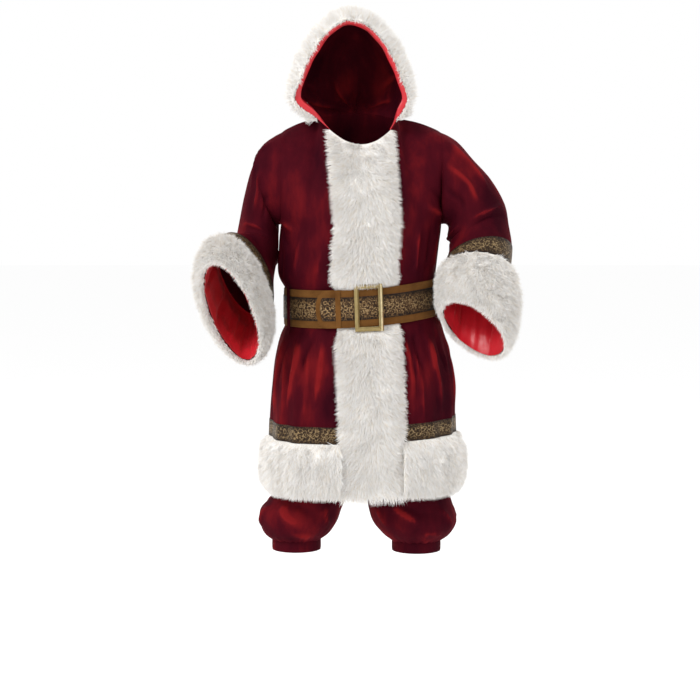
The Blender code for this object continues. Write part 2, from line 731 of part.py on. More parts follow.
def make_tongue(band, top, collection):
    """The belt's free end, through the buckle and on to its tip, with its own ribbon."""
    tongue = front_strip(band, TONGUE[0], TONGUE[1], tip=0.022)
    low = top + GAP
    add_wall("belt_tongue", tongue, low, low + STRAP, LEATHER, collection)
    ribbon = front_strip(band, TONGUE[0] + 0.012, TONGUE[1])
    ribbon = narrowed(ribbon, RIBBON_MARGIN)
    add_wall("belt_tongue_ribbon", ribbon, low + STRAP + GAP, low + STRAP + GAP + TRIM, BROCADE, collection)
    keeper = front_strip(band, KEEPER[0], KEEPER[1])
    low += STRAP + GAP + TRIM + GAP
    add_wall("belt_keeper", keeper, low, low + 0.0024, LEATHER, collection)


def make_buckle(band, top, collection):
    """A frame of four mitred, ridged bars, and the round rod over its left bar."""
    centre = (band.points[0, 0] + band.points[1, 0]) / 2
    out = unit(band.normals[0, 0] + band.normals[1, 0])
    up = unit(band.points[1, 0] - band.points[0, 0])
    across = unit(np.cross(up, out))
    up = np.cross(out, across)
    corners = ((-1, -1), (1, -1), (1, 1), (-1, 1))
    # The bar's section, as distances in from the frame's outer edge and heights off its back.
    section = ((0.0, 0.0), (0.0, 0.45), (0.35, 1.0), (0.65, 1.0), (1.0, 0.35), (1.0, 0.0))
    base = centre + out * (top + 0.0016)
    points = []
    for corner_x, corner_z in corners:
        for inwards, height in section:
            x = corner_x * (BUCKLE_HALF_WIDTH - inwards * BUCKLE_BAR)
            z = corner_z * (BUCKLE_HALF_HEIGHT - inwards * BUCKLE_BAR)
            points.append(base + across * x + up * z + out * height * BUCKLE_DEPTH)
    count = len(section)
    faces = []
    for corner in range(4):
        for k in range(count):
            a = corner * count + k
            b = corner * count + (k + 1) % count
            c = (corner + 1) % 4 * count + (k + 1) % count
            d = (corner + 1) % 4 * count + k
            faces.append((a, b, c, d))
    buckle = add_mesh("belt_buckle", points, faces, BRASS, collection, smooth=False)
    outwards(buckle.data)
    place = base + across * (BUCKLE_HALF_WIDTH - BUCKLE_BAR / 2)
    place = place + out * (BUCKLE_DEPTH + GAP + ROD_RADIUS)
    rod_profile = ((0, -1.0), (0.75, -0.985), (1, -0.95), (1, 0.95), (0.75, 0.985), (0, 1.0))
    add_turned("buckle_rod", rod_profile, ROD_RADIUS, BUCKLE_HALF_HEIGHT, place, across, up, collection)


def add_turned(name, profile, radius, half, place, across, up, collection):
    """A round rod along "up", from a profile of radius and height shares."""
    sides = 12
    work = bmesh.new()
    out = np.cross(across, up)
    rings = []
    for share, height in profile:
        ring = []
        for k in range(sides if share else 1):
            angle = 2 * math.pi * k / sides
            spoke = (across * math.cos(angle) + out * math.sin(angle)) * radius * share
            ring.append(work.verts.new(place + up * height * half + spoke))
        rings.append(ring)
    for low, high in zip(rings, rings[1:]):
        for k in range(sides):
            n = (k + 1) % sides
            corners = [low[k % len(low)], low[n % len(low)], high[n % len(high)], high[k % len(high)]]
            work.faces.new(list(dict.fromkeys(corners)))
    bmesh.ops.recalc_face_normals(work, faces=work.faces)
    mesh = bpy.data.meshes.new(name)
    work.to_mesh(mesh)
    work.free()
    mesh.materials.append(material(BRASS))
    mesh.shade_smooth()
    mesh.set_sharp_from_angle(angle=math.radians(40))
    collection.objects.link(bpy.data.objects.new(name, mesh))


def outwards(mesh):
    work = bmesh.new()
    work.from_mesh(mesh)
    bmesh.ops.recalc_face_normals(work, faces=work.faces)
    work.to_mesh(mesh)
    work.free()


def make_loop(name, whole, column, collection):
    """A velvet carrier near a side seam: sewn down above and below, and standing over the belt."""
    sewn = CLOTH / 2 + GAP
    clear = belt_lift(9) + STRAP + GAP + TRIM + GAP
    names = ("under_belt", "belt_foot", "belt_head", "over_belt")
    rows = [ring_row(word) for word in names]
    points, normals = whole.points[rows, column], whole.normals[rows, column]
    before, after = whole.points[rows, column - 1], whole.points[rows, column + 1]
    along = unit_rows(after - before) * LOOP_WIDTH / 2
    strip = np.stack([points - along, points + along], axis=1)
    bulge = 0.0012  # the coat's facets fall away from the seam
    strip[1] += (strip[0] - strip[1]) * 0.25
    strip[2] += (strip[3] - strip[2]) * 0.25
    sheet = Sheet(strip)
    sheet.normals = np.stack([normals, normals], axis=1)
    low = np.array([sewn, clear, clear, sewn])[:, None] + bulge
    add_wall(name, sheet, low, low + 0.0016, VELVET, collection)


# ---------------------------------------------------------------- trousers
def make_trousers(collection):
    legs = {"right": leg_sheet(-1, LEG_RIGHT), "left": leg_sheet(1, LEG_LEFT)}
    half = CLOTH / 2
    for word, sheet in legs.items():
        share_normals([sheet])
        add_wall("trouser_leg_" + word, sheet, -half, half, VELVET, collection)
    for word, table in (("right", LEG_RIGHT), ("left", LEG_LEFT)):
        end = table[-1]
        top = end.z - CLOTH - GAP
        band = hoop(top - BAND_DEPTH, top, end.middle, end.half, end.front, end.back, LEG_COLUMNS)
        share_normals([band])
        add_wall("knee_band_" + word, band, -half, half, VELVET, collection)
    seat = TROUSER_SEATS[0]
    low = seat.z + CLOTH + GAP
    band = hoop(low, low + WAISTBAND_DEPTH, 0, seat.half, seat.front, seat.back, 2 * LEG_COLUMNS)
    share_normals([band])
    add_wall("trouser_waistband", band, -half, half, VELVET, collection)


def main():
    for item in list(bpy.data.objects):
        bpy.data.objects.remove(item, do_unlink=True)
    collection = bpy.data.collections.new("santa_suit")
    bpy.context.scene.collection.children.link(collection)
    make_coat(collection)
    make_trousers(collection)


main()
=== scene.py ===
# %% [markdown]
# # A worn santa suit
# This lesson dresses a plain CAD model of a costume: a hooded velvet coat with long fur trim,
# knee trousers and a wide belt. The CAD model gives the place and size of every piece. Here each
# cloth piece is drawn again as a fine thin shell on the same form, with its folds, and each fur
# band grows real hairs.

# %% Load the frame
import math
from collections import namedtuple

import bmesh
import bpy
import numpy as np
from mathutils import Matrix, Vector


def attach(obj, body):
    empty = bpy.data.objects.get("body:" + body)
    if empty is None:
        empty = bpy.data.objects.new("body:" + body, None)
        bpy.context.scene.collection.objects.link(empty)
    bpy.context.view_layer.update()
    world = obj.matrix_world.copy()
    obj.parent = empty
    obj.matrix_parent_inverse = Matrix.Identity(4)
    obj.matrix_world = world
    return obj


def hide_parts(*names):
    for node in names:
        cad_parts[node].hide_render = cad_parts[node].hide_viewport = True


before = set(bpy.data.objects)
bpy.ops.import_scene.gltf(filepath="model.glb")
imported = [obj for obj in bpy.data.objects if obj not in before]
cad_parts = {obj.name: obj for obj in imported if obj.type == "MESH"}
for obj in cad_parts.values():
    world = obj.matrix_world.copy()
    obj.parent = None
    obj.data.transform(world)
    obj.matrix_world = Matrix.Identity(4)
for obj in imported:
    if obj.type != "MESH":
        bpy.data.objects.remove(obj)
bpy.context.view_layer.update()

# %% [markdown]
# ## Sizes of the cut
# A tailor works from a table of measures, and so does the script. These are the same sections
# that the CAD solids were lofted through: each row is one level of the coat, of a sleeve, of the
# hood or of a leg. Metres, +Z up, the front towards -Y, the wearer's left at +X.

# %% Cloth and fur sizes
CLOTH = 0.0020
SATIN = 0.0010
TRIM = 0.0011
STRAP = 0.0034
GAP = 0.0003
FUR_REACH = 0.030
FUR_HALF = 0.084
BELT_SQUEEZE = 0.0060
ROUNDNESS = 2.3
FRONT_COLUMNS = 9
YOKE_ROWS = 8
NECK_COLUMN = 4
SLEEVE_COLUMNS = 2 * YOKE_ROWS
LEG_COLUMNS = 16
FUR_COLUMN = 2  # the column under the front fur's edge
HOOD_LIFTS = (0, 7, 18, 31, 44, 57, 69, 80, 90)
SEAT_POWER = 0.9
# The side of a facet of the fine cloth: the coat's, and then the other pieces'.
FINE = 0.0066
SLEEVE_FINE = 0.0065
HOOD_FINE = 0.0080
LEG_FINE = 0.0075
HOOP_FINE = 0.0060
CREST_FULL = 0.008  # a fold of this height gets the full painted highlight along its top

# %% The coat's levels
TILT_BOW = 3.6
Ring = namedtuple("Ring", "name z half front back middle turn tilt")
COAT_RINGS = (
    Ring("hem", -1.010, 0.2550, 0.200, 0.192, 0.005, 7.0, 0.000),
    Ring("fur_middle", -0.940, 0.2535, 0.198, 0.190, 0.005, 7.0, 0.010),
    Ring("brocade_foot", -0.869, 0.2515, 0.195, 0.186, 0.005, 7.0, 0.025),
    Ring("brocade_head", -0.823, 0.2500, 0.192, 0.182, 0.005, 7.0, 0.025),
    Ring("thigh", -0.725, 0.2465, 0.186, 0.174, 0.004, 7.0, 0.030),
    Ring("hip", -0.640, 0.2370, 0.176, 0.164, 0.000, 7.0, 0.045),
    Ring("under_belt", -0.576, 0.2210, 0.165, 0.150, 0.000, 7.0, 0.064),
    Ring("belt_foot", -0.554, 0.2110, 0.158, 0.141, 0.000, 7.0, 0.064),
    Ring("belt_head", -0.451, 0.2080, 0.155, 0.138, -0.003, 7.0, 0.064),
    Ring("over_belt", -0.428, 0.2160, 0.160, 0.144, -0.009, 7.0, 0.055),
    Ring("chest", -0.350, 0.2215, 0.160, 0.146, -0.007, 6.5, 0.020),
    Ring("armpit", -0.278, 0.2220, 0.155, 0.142, 0.000, 6.0, 0.000),
)
Neck = namedtuple("Neck", "middle turn half front back z_front z_side z_back")
NECK = Neck(-0.008, 4.0, 0.112, 0.100, 0.085, -0.062, 0.012, 0.030)
SHOULDER_POINT = (0.220, 0.004, -0.024)
SHOULDER_ARCH = 0.006
SWELL_FRONT = (0.014, 0.082)
SWELL_BACK = (0.022, 0.078)
Fold = namedtuple("Fold", "angle width depth z_top z_full")
SKIRT_FOLDS = (
    Fold(36, 7, 0.009, -0.60, -0.80),
    Fold(58, 8, 0.011, -0.57, -0.78),
    Fold(84, 9, 0.010, -0.58, -0.85),
    Fold(118, 9, 0.012, -0.60, -0.84),
    Fold(152, 10, 0.011, -0.58, -0.80),
    Fold(186, 9, 0.013, -0.60, -0.86),
    Fold(222, 10, 0.011, -0.58, -0.82),
    Fold(258, 9, 0.012, -0.60, -0.84),
    Fold(288, 8, 0.010, -0.57, -0.78),
    Fold(312, 7, 0.012, -0.58, -0.76),
)

# %% The sleeves' sections
Cuff = namedtuple("Cuff", "name x y z out_x out_y out_z wide")
SLEEVE_RIGHT = (
    Cuff("cap", -0.2530, 0.000, -0.1710, -0.0180, 0.000, 0.1090, 0.083),
    Cuff("upper_arm", -0.2660, 0.002, -0.2070, -0.0350, 0.000, 0.0850, 0.086),
    Cuff("arm", -0.2770, 0.004, -0.2540, -0.0460, 0.000, 0.0560, 0.088),
    Cuff("above_elbow", -0.2850, 0.004, -0.3050, -0.0540, 0.000, 0.0300, 0.093),
    Cuff("elbow", -0.2925, -0.006, -0.3500, -0.0595, 0.006, 0.0060, 0.106),
    Cuff("forearm", -0.3100, -0.036, -0.3900, -0.0610, 0.018, 0.0000, 0.126),
    Cuff("brocade", -0.3190, -0.068, -0.4180, -0.0690, 0.028, 0.0000, 0.146),
    Cuff("fur_head", -0.3300, -0.110, -0.4450, -0.0700, 0.034, 0.0000, 0.157),
    Cuff("fur_middle", -0.3400, -0.170, -0.4780, -0.0740, 0.040, 0.0000, 0.160),
    Cuff("mouth", -0.3470, -0.232, -0.5100, -0.0640, 0.038, 0.0000, 0.155),
)
SLEEVE_LEFT = (
    Cuff("cap", 0.2500, 0.000, -0.1640, 0.0150, 0.000, 0.1130, 0.085),
    Cuff("upper_arm", 0.2765, 0.000, -0.1935, 0.0330, 0.000, 0.0930, 0.087),
    Cuff("arm", 0.3000, -0.002, -0.2325, 0.0590, 0.000, 0.0775, 0.088),
    Cuff("above_elbow", 0.3210, -0.010, -0.2750, 0.0770, 0.010, 0.0500, 0.090),
    Cuff("elbow", 0.3265, -0.024, -0.3200, 0.0825, 0.020, 0.0300, 0.093),
    Cuff("brocade", 0.3250, -0.052, -0.3640, 0.0890, 0.022, 0.0075, 0.097),
    Cuff("fur_head", 0.3180, -0.080, -0.4010, 0.0830, 0.022, -0.0220, 0.098),
    Cuff("fur_middle", 0.3110, -0.122, -0.4850, 0.0840, 0.012, -0.0520, 0.097),
    Cuff("mouth", 0.3040, -0.162, -0.5560, 0.0750, 0.000, -0.0700, 0.090),
)

# %% The hood's arches and the trousers' levels
Arch = namedtuple("Arch", "name crown_y crown_z half tuck")
HOOD_ARCHES = (
    Arch("face_edge", -0.096, 0.275, 0.162, 18.0),
    Arch("fur_back", -0.038, 0.289, 0.165, 24.0),
    Arch("crown", 0.035, 0.285, 0.165, 26.0),
    Arch("back_crown", 0.108, 0.248, 0.152, 26.0),
    Arch("back", 0.156, 0.180, 0.127, 26.0),
    Arch("pouch", 0.158, 0.103, 0.087, 26.0),
)
HOOD_POWER = 1.8
HOOD_LEAN = -0.028
HOOD_LEAN_TURN = 20.0
Seat = namedtuple("Seat", "z half front back")
TROUSER_SEATS = (
    Seat(-0.505, 0.168, 0.112, 0.104),
    Seat(-0.560, 0.176, 0.120, 0.116),
    Seat(-0.640, 0.192, 0.126, 0.132),
    Seat(-0.730, 0.204, 0.122, 0.134),
)
Leg = namedtuple("Leg", "z middle half front back")
LEG_RIGHT = (
    Leg(-0.812, -0.108, 0.1065, 0.112, 0.122),
    Leg(-0.900, -0.119, 0.1050, 0.108, 0.114),
    Leg(-0.990, -0.132, 0.1040, 0.106, 0.108),
    Leg(-1.048, -0.149, 0.1060, 0.108, 0.106),
    Leg(-1.078, -0.169, 0.1130, 0.110, 0.104),
    Leg(-1.112, -0.176, 0.1080, 0.108, 0.102),
    Leg(-1.143, -0.181, 0.0900, 0.092, 0.086),
    Leg(-1.160, -0.182, 0.0680, 0.068, 0.064),
)
LEG_LEFT = (
    Leg(-0.812, 0.1085, 0.1065, 0.112, 0.122),
    Leg(-0.900, 0.1160, 0.1080, 0.108, 0.114),
    Leg(-0.990, 0.1250, 0.1120, 0.108, 0.108),
    Leg(-1.048, 0.1350, 0.1170, 0.110, 0.106),
    Leg(-1.078, 0.1420, 0.1195, 0.112, 0.106),
    Leg(-1.116, 0.1520, 0.1160, 0.110, 0.102),
    Leg(-1.148, 0.1560, 0.0900, 0.090, 0.084),
    Leg(-1.163, 0.1560, 0.0680, 0.068, 0.064),
)
BAND_DEPTH = 0.030
WAISTBAND_DEPTH = 0.036

# %% The belt's fittings
BELT_WIDE = 0.103
TONGUE = (-0.138, 0.030)
KEEPER = (-0.086, -0.073)
LOOP_WIDTH = 0.014
LOOP_CLOTH = 0.0016
CARRIER_COLUMN = FRONT_COLUMNS - 2


# %% [markdown]
# ## From the table to a grid of points
# Every cloth piece is one grid: its rows climb the garment and its columns run round it. The
# functions below are the pattern: each answers where one point of the cloth lies. They are the
# rules that the CAD solids follow, so the fine cloth can't drift away from them.

# %% Small helpers
def turned(x, y, degrees):
    angle = math.radians(degrees)
    return x * math.cos(angle) - y * math.sin(angle), x * math.sin(angle) + y * math.cos(angle)


def blend(a, b, share):
    return np.asarray(a) * (1 - share) + np.asarray(b) * share


def ease(value):
    """0 below 0, 1 above 1, smooth between. It takes numbers and arrays."""
    value = np.clip(value, 0.0, 1.0)
    return value * value * (3 - 2 * value)


def power(value, exponent):
    return math.copysign(abs(value) ** exponent, value)


def unit(vectors):
    vectors = np.asarray(vectors, float)
    return vectors / np.maximum(np.linalg.norm(vectors, axis=-1, keepdims=True), 1e-12)


# %% Points of the coat
def fold_height(degrees, z):
    height = 0.0
    for fold in SKIRT_FOLDS:
        away = (degrees - fold.angle + 180) % 360 - 180
        share = ease((fold.z_top - z) / (fold.z_top - fold.z_full))
        height += fold.depth * share * math.exp(-((away / fold.width) ** 2))
    return height


def front_angle(column, half):
    """The first columns lie under the front fur, and the others share the rest of the quarter."""
    if column <= FUR_COLUMN:
        return math.asin((FUR_HALF * column / FUR_COLUMN / half) ** (ROUNDNESS / 2))
    start = front_angle(FUR_COLUMN, half)
    return start + (math.pi / 2 - start) * (column - FUR_COLUMN) / (FRONT_COLUMNS - FUR_COLUMN)


def ring_point(ring, angle):
    x = ring.half * power(math.sin(angle), 2 / ROUNDNESS)
    depth = ring.front if math.cos(angle) > 0 else ring.back
    y = -depth * power(math.cos(angle), 2 / ROUNDNESS)
    out = 1 + fold_height(math.degrees(angle), ring.z) / math.hypot(x, y)
    x, y = turned(x * out, y * out, ring.turn)
    x += ring.middle
    return np.array([x, y, ring.z + ring.tilt * (x + TILT_BOW * x * x)])


def neck_point(side, angle):
    x = NECK.half * math.sin(angle)
    cosine = math.cos(angle)
    y = -(NECK.front if cosine > 0 else NECK.back) * cosine
    end = NECK.z_front if cosine > 0 else NECK.z_back
    x, y = turned(side * x, y, NECK.turn)
    return np.array([x + NECK.middle, y, NECK.z_side + (end - NECK.z_side) * cosine * cosine])


def neck_angle(column, front):
    if not front:
        return math.pi - math.pi / 2 * column / NECK_COLUMN
    if column <= FUR_COLUMN:
        return math.asin(FUR_HALF * column / FUR_COLUMN / NECK.half)
    start = neck_angle(FUR_COLUMN, True)
    return start + (math.pi / 2 - start) * (column - FUR_COLUMN) / (NECK_COLUMN - FUR_COLUMN)


def top_point(side, column, front):
    if column <= NECK_COLUMN:
        return neck_point(side, neck_angle(column, front))
    share = (column - NECK_COLUMN) / (FRONT_COLUMNS - NECK_COLUMN)
    end = (side * SHOULDER_POINT[0], SHOULDER_POINT[1], SHOULDER_POINT[2])
    point = blend(neck_point(side, math.pi / 2), end, share)
    point[2] += SHOULDER_ARCH * math.sin(math.pi * share)
    return point


def lower_point(side, column, front, ring):
    if front:
        angle = front_angle(column, ring.half)
    else:
        angle = math.pi - math.pi / 2 * column / FRONT_COLUMNS
    return ring_point(ring, side * angle)


def yoke_point(side, column, front, row):
    turn = math.pi * row / YOKE_ROWS
    share = (1 - math.cos(turn)) / 2
    across = column / FRONT_COLUMNS
    low = lower_point(side, column, front, COAT_RINGS[-1])
    point = blend(low, top_point(side, column, front), share)
    centre, edge = SWELL_FRONT if front else SWELL_BACK
    swell = (centre + (edge - centre) * across**1.5) * math.sin(turn) ** (2 - across**6)
    point[1] += -swell if front else swell
    return point


def coat_panel(side, front):
    """Half of the front or back. Its columns run anticlockwise from above."""
    columns = range(FRONT_COLUMNS + 1)
    rows = [[lower_point(side, c, front, ring) for c in columns] for ring in COAT_RINGS]
    for row in range(1, YOKE_ROWS + 1):
        rows.append([yoke_point(side, c, front, row) for c in columns])
    points = np.array(rows)
    return points if (side > 0) == front else points[:, ::-1]


def ring_row(name):
    return [ring.name for ring in COAT_RINGS].index(name)


# %% Points of the sleeves, the hood and the legs
def armhole_loop(side):
    outer = FRONT_COLUMNS
    down = [yoke_point(side, outer, side > 0, YOKE_ROWS - row) for row in range(YOKE_ROWS + 1)]
    up = [yoke_point(side, outer, side < 0, row) for row in range(1, YOKE_ROWS)]
    return np.array(down + up)


def sleeve_grid(side, cuffs):
    loop = armhole_loop(side)
    centres = [loop.mean(axis=0)] + [np.array([cuff.x, cuff.y, cuff.z]) for cuff in cuffs]
    rows = [loop]
    for index, cuff in enumerate(cuffs, start=1):
        ahead = centres[min(index + 1, len(cuffs))] - centres[index - 1]
        out = np.array([cuff.out_x, cuff.out_y, cuff.out_z])
        across = unit(np.cross(ahead, out)) * cuff.wide
        row = []
        for column in range(SLEEVE_COLUMNS):
            angle = 2 * math.pi * column / SLEEVE_COLUMNS
            row.append(centres[index] + out * math.cos(angle) + across * math.sin(angle))
        rows.append(row)
    return np.array(rows)


def cuff_row(cuffs, name):
    return 1 + [cuff.name for cuff in cuffs].index(name)


def hood_grid(side):
    in_front = range(FUR_COLUMN, NECK_COLUMN + 1)
    feet = [neck_point(side, neck_angle(column, True)) for column in in_front]
    feet += [neck_point(side, neck_angle(column, False)) for column in range(NECK_COLUMN - 1, -1, -1)]
    rows = []
    for arch, foot in zip(HOOD_ARCHES, feet):
        row = []
        for lift in HOOD_LIFTS:
            angle = math.radians(lift)
            rise = math.sin(angle) ** (2 / HOOD_POWER)
            spread = max(math.cos(angle), 0.0) ** (2 / HOOD_POWER)
            foot_x = abs(foot[0] - NECK.middle)
            half = foot_x + (arch.half - foot_x) * ease(lift / arch.tuck)
            middle = NECK.middle + (HOOD_LEAN - NECK.middle) * ease(lift / HOOD_LEAN_TURN)
            y = foot[1] + (arch.crown_y - foot[1]) * rise
            z = foot[2] + (arch.crown_z - foot[2]) * rise
            row.append((middle + side * half * spread, y, z))
        row[0] = tuple(foot)
        rows.append(row)
    rows.append([tuple(feet[-1])] * len(HOOD_LIFTS))
    points = np.array(rows)
    return points if side < 0 else points[:, ::-1]


def leg_grid(side, legs):
    rows = []
    for seat in TROUSER_SEATS:
        row = []
        for column in range(LEG_COLUMNS + 1):
            angle = math.pi * column / LEG_COLUMNS
            depth = seat.front if math.cos(angle) > 0 else seat.back
            x = side * (GAP + seat.half * power(math.sin(angle), SEAT_POWER))
            row.append((x, -depth * power(math.cos(angle), SEAT_POWER), seat.z))
        rows.append(row)
    for leg in legs:
        row = []
        for column in range(LEG_COLUMNS + 1):
            angle = 2 * math.pi * column / LEG_COLUMNS
            depth = leg.front if math.sin(angle) > 0 else leg.back
            x = leg.middle - side * leg.half * math.cos(angle)
            row.append((x, -depth * math.sin(angle), leg.z))
        rows.append(row)
    points = np.array(rows)
    return points if side < 0 else points[::-1]


# %% [markdown]
# ## A smooth cloth through a coarse grid
# A Subdivision Surface would shrink the cloth away from its corners. A cubic curve through the
# rows and then through the columns keeps every given point, so the fine cloth has the CAD's
# outline. Its slopes come from the true distances between the points, because a belt's rows
# lie close together and a skirt's lie far apart.

# %% The smoothing
def slopes(points, places):
    """The slope at each point of a curve, from both neighbours, and from one at an open end."""
    step = np.diff(places)
    shape = (-1,) + (1,) * (points.ndim - 1)
    rise = np.diff(points, axis=0) / step.reshape(shape)
    before = step[:-1].reshape(shape)
    after = step[1:].reshape(shape)
    inner = (rise[:-1] * after + rise[1:] * before) / (before + after)
    return np.concatenate([rise[:1], inner, rise[-1:]])


def places_of(points):
    """How far along each coarse row or column lies, in metres, as a mean over its points."""
    gaps = np.linalg.norm(np.diff(points, axis=0), axis=-1)
    mean = np.maximum(gaps.reshape(len(gaps), -1).mean(axis=1), 1e-4)
    return np.concatenate([[0], np.cumsum(mean)])


def finer(points, size, ghosts=(None, None), places=None):
    """More points along the first axis, on a cubic curve through them all. Ghosts are the
    neighbours just beyond each end, where another panel carries on. It also returns the place of
    each coarse point in the result."""
    head = [] if ghosts[0] is None else [ghosts[0]]
    tail = [] if ghosts[1] is None else [ghosts[1]]
    whole = np.array([*head, *points, *tail])
    if places is None:
        places = places_of(whole)
    slope = slopes(whole, places)
    first = len(head)
    result = []
    marks = []
    for i in range(first, first + len(points) - 1):
        span = places[i + 1] - places[i]
        count = max(1, int(round(span / size)))
        marks.append(len(result))
        for k in range(count):
            t = k / count
            a = 2 * t**3 - 3 * t**2 + 1
            b = t**3 - 2 * t**2 + t
            c = 3 * t**2 - 2 * t**3
            d = t**3 - t**2
            here = whole[i] * a + slope[i] * b * span + whole[i + 1] * c + slope[i + 1] * d * span
            result.append(here)
    marks.append(len(result))
    result.append(points[-1])
    return np.array(result), marks


class Cloth:
    """A fine grid of points with its normals. A ring's last column joins its first."""

    def __init__(self, points, ring=False, rows=None, columns=None):
        self.points = points
        self.ring = ring
        self.rows = rows
        self.columns = columns
        self.crest = np.zeros(points.shape[:2])
        self.normals = self.facing()

    def across(self):
        """The step along the rows at each point."""
        p = self.points
        if not self.ring:
            return np.gradient(p, axis=1)
        wide = np.concatenate([p[:, -1:], p, p[:, :1]], axis=1)
        return (wide[:, 2:] - wide[:, :-2]) / 2

    def up(self):
        """The step up the columns at each point."""
        return np.gradient(self.points, axis=0)

    def facing(self):
        """The outward normals, made one where a panel's two ends or a last row's points meet."""
        p = self.points
        normals = unit(np.cross(self.across(), self.up()))
        if not self.ring:
            shut = self.shut()
            normals[shut, 0] = normals[shut, -1] = unit(normals[shut, 0] + normals[shut, -1])
        if np.ptp(p[-1], axis=0).max() < 1e-6:
            normals[-1] = unit(normals[-2].mean(axis=0))
        return normals

    def shut(self):
        """The rows whose two ends meet, as below a crotch."""
        return np.linalg.norm(self.points[:, 0] - self.points[:, -1], axis=1) < 1e-6

    def out(self, height):
        """The points moved out along the normals."""
        return self.points + self.normals * np.broadcast_to(height, self.points.shape[:2])[..., None]

    def raised(self, height):
        """The same cloth after its creases: every point moves out by its height."""
        folded = Cloth(self.out(height), self.ring, self.rows, self.columns)
        folded.crest = np.broadcast_to(height, self.points.shape[:2])
        return folded

    def part(self, rows, columns=slice(None)):
        """Some rows and columns of the cloth, with the whole cloth's normals."""
        piece = Cloth.__new__(Cloth)
        piece.points = self.points[rows, columns]
        piece.normals = self.normals[rows, columns]
        piece.ring = self.ring and columns == slice(None)
        piece.rows = piece.columns = None
        piece.crest = self.crest[rows, columns]
        return piece

    def joined(self):
        """The points, with a ring's first column again at its end."""
        p = self.points
        return np.concatenate([p, p[:, :1]], axis=1) if self.ring else p

    def lengths(self):
        """The length along the rows and up the columns, in metres, for each point."""
        along = np.linalg.norm(np.diff(self.joined(), axis=1), axis=2).mean(axis=0)
        rise = np.linalg.norm(np.diff(self.points, axis=0), axis=2).mean(axis=1)
        return np.concatenate([[0], np.cumsum(along)]), np.concatenate([[0], np.cumsum(rise)])

    def area(self):
        wide = self.joined()
        a, b = wide[1:, 1:] - wide[:-1, :-1], wide[1:, :-1] - wide[:-1, 1:]
        return float(np.linalg.norm(np.cross(a, b), axis=2).sum() / 2)


def fine_cloth(grid, ring=False, size=FINE, left=None, right=None, levels=None):
    """Fine in both directions. Left and right are the neighbouring panels' nearest columns.
    Panels that are sewn together share their levels, so that their fine rows meet."""
    turned_grid = grid.transpose(1, 0, 2)
    if ring:
        closed = np.concatenate([turned_grid, turned_grid[:1]])
        across, columns = finer(closed, size, (turned_grid[-1], turned_grid[1]))
        across = across[:-1]
    else:
        across, columns = finer(turned_grid, size, (left, right))
    points, rows = finer(across.transpose(1, 0, 2), size, places=levels)
    return Cloth(points, ring, rows, columns)


def column_turns(cloth, count):
    """The angle of each fine column, where a full turn has this many coarse columns."""
    fine = np.arange(cloth.points.shape[1])
    return np.interp(fine, cloth.columns, np.arange(count + 1) * 360 / count)


# %% [markdown]
# ## A shell from a cloth grid
# Velvet has a thickness, so a single sheet of faces would be wrong from inside the hood and the
# sleeves. The Solidify modifier could thicken it, but writing both layers and the border between
# them keeps a texture map in real metres on every face, which the weaves need.

# %% The shell
SHARP = 60  # degrees: an edge that turns by more is drawn sharp


def add_object(name, data):
    """A new object at the origin that holds this mesh, lamp or camera."""
    made = bpy.data.objects.new(name, data)
    bpy.context.scene.collection.objects.link(made)
    return made


def facets(cloth):
    """The row and the column of each facet's first corner."""
    rows, columns = cloth.points.shape[:2]
    last = columns if cloth.ring else columns - 1
    i, j = np.meshgrid(np.arange(rows - 1), np.arange(last), indexing="ij")
    return i.ravel(), j.ravel()


def add_shell(name, cloth, low, high, finish):
    """A closed wall between two heights over the cloth, with its map in metres."""
    rows, columns = cloth.points.shape[:2]
    points = np.concatenate([cloth.out(high).reshape(-1, 3), cloth.out(low).reshape(-1, 3)])
    under = rows * columns
    last = columns if cloth.ring else columns - 1
    i, j = facets(cloth)
    corner_rows = np.stack([i, i, i + 1, i + 1], axis=1)
    corner_columns = np.stack([j, j + 1, j + 1, j], axis=1)
    layers = [(corner_rows, corner_columns, np.zeros_like(corner_rows))]
    layers.append((corner_rows[:, ::-1], corner_columns[:, ::-1], np.ones_like(corner_rows)))
    j = np.arange(last)
    for row, start, end in ((0, j + 1, j), (rows - 1, j, j + 1)):
        layers.append((np.full((last, 4), row), np.stack([start, end, end, start], axis=1),
                       np.tile([0, 0, 1, 1], (last, 1))))
    if not cloth.ring:
        shut = cloth.shut()
        i = np.flatnonzero(~(shut[:-1] & shut[1:]))
        for column, start, end in ((0, i, i + 1), (columns - 1, i + 1, i)):
            layers.append((np.stack([start, end, end, start], axis=1), np.full((len(i), 4), column),
                           np.tile([0, 0, 1, 1], (len(i), 1))))
    row_at, column_at, layer_at = (np.concatenate([layer[k] for layer in layers]) for k in range(3))
    faces = row_at * columns + column_at % columns + layer_at * under
    mesh = bpy.data.meshes.new(name + "_soft")
    mesh.from_pydata(points.tolist(), [], faces.tolist())
    # The crease height as a share of CREST_FULL, from which the velvet paints its highlight and shade.
    crest = mesh.attributes.new("crest", "FLOAT", "POINT")
    crest.data.foreach_set("value", np.tile(cloth.crest.ravel() / CREST_FULL, 2).astype(np.float32))
    u, v = cloth.lengths()
    uv = mesh.uv_layers.new(name="metres")
    uv.data.foreach_set("uv", np.stack([u[column_at], v[row_at]], axis=-1).astype(np.float32).ravel())
    mesh.materials.append(finish)
    if not cloth.ring:
        work = bmesh.new()
        work.from_mesh(mesh)
        bmesh.ops.remove_doubles(work, verts=work.verts, dist=1e-6)
        work.to_mesh(mesh)
        work.free()
    mesh.validate()
    mesh.shade_smooth()
    mesh.set_sharp_from_angle(angle=math.radians(SHARP))
    return add_object(name + "_soft", mesh)


# %% The cut
SHORTEST_SIDE = 0.012
CUT_ALLOWANCE = 1.002  # a curved piece is cut from a rectangle that is a little larger


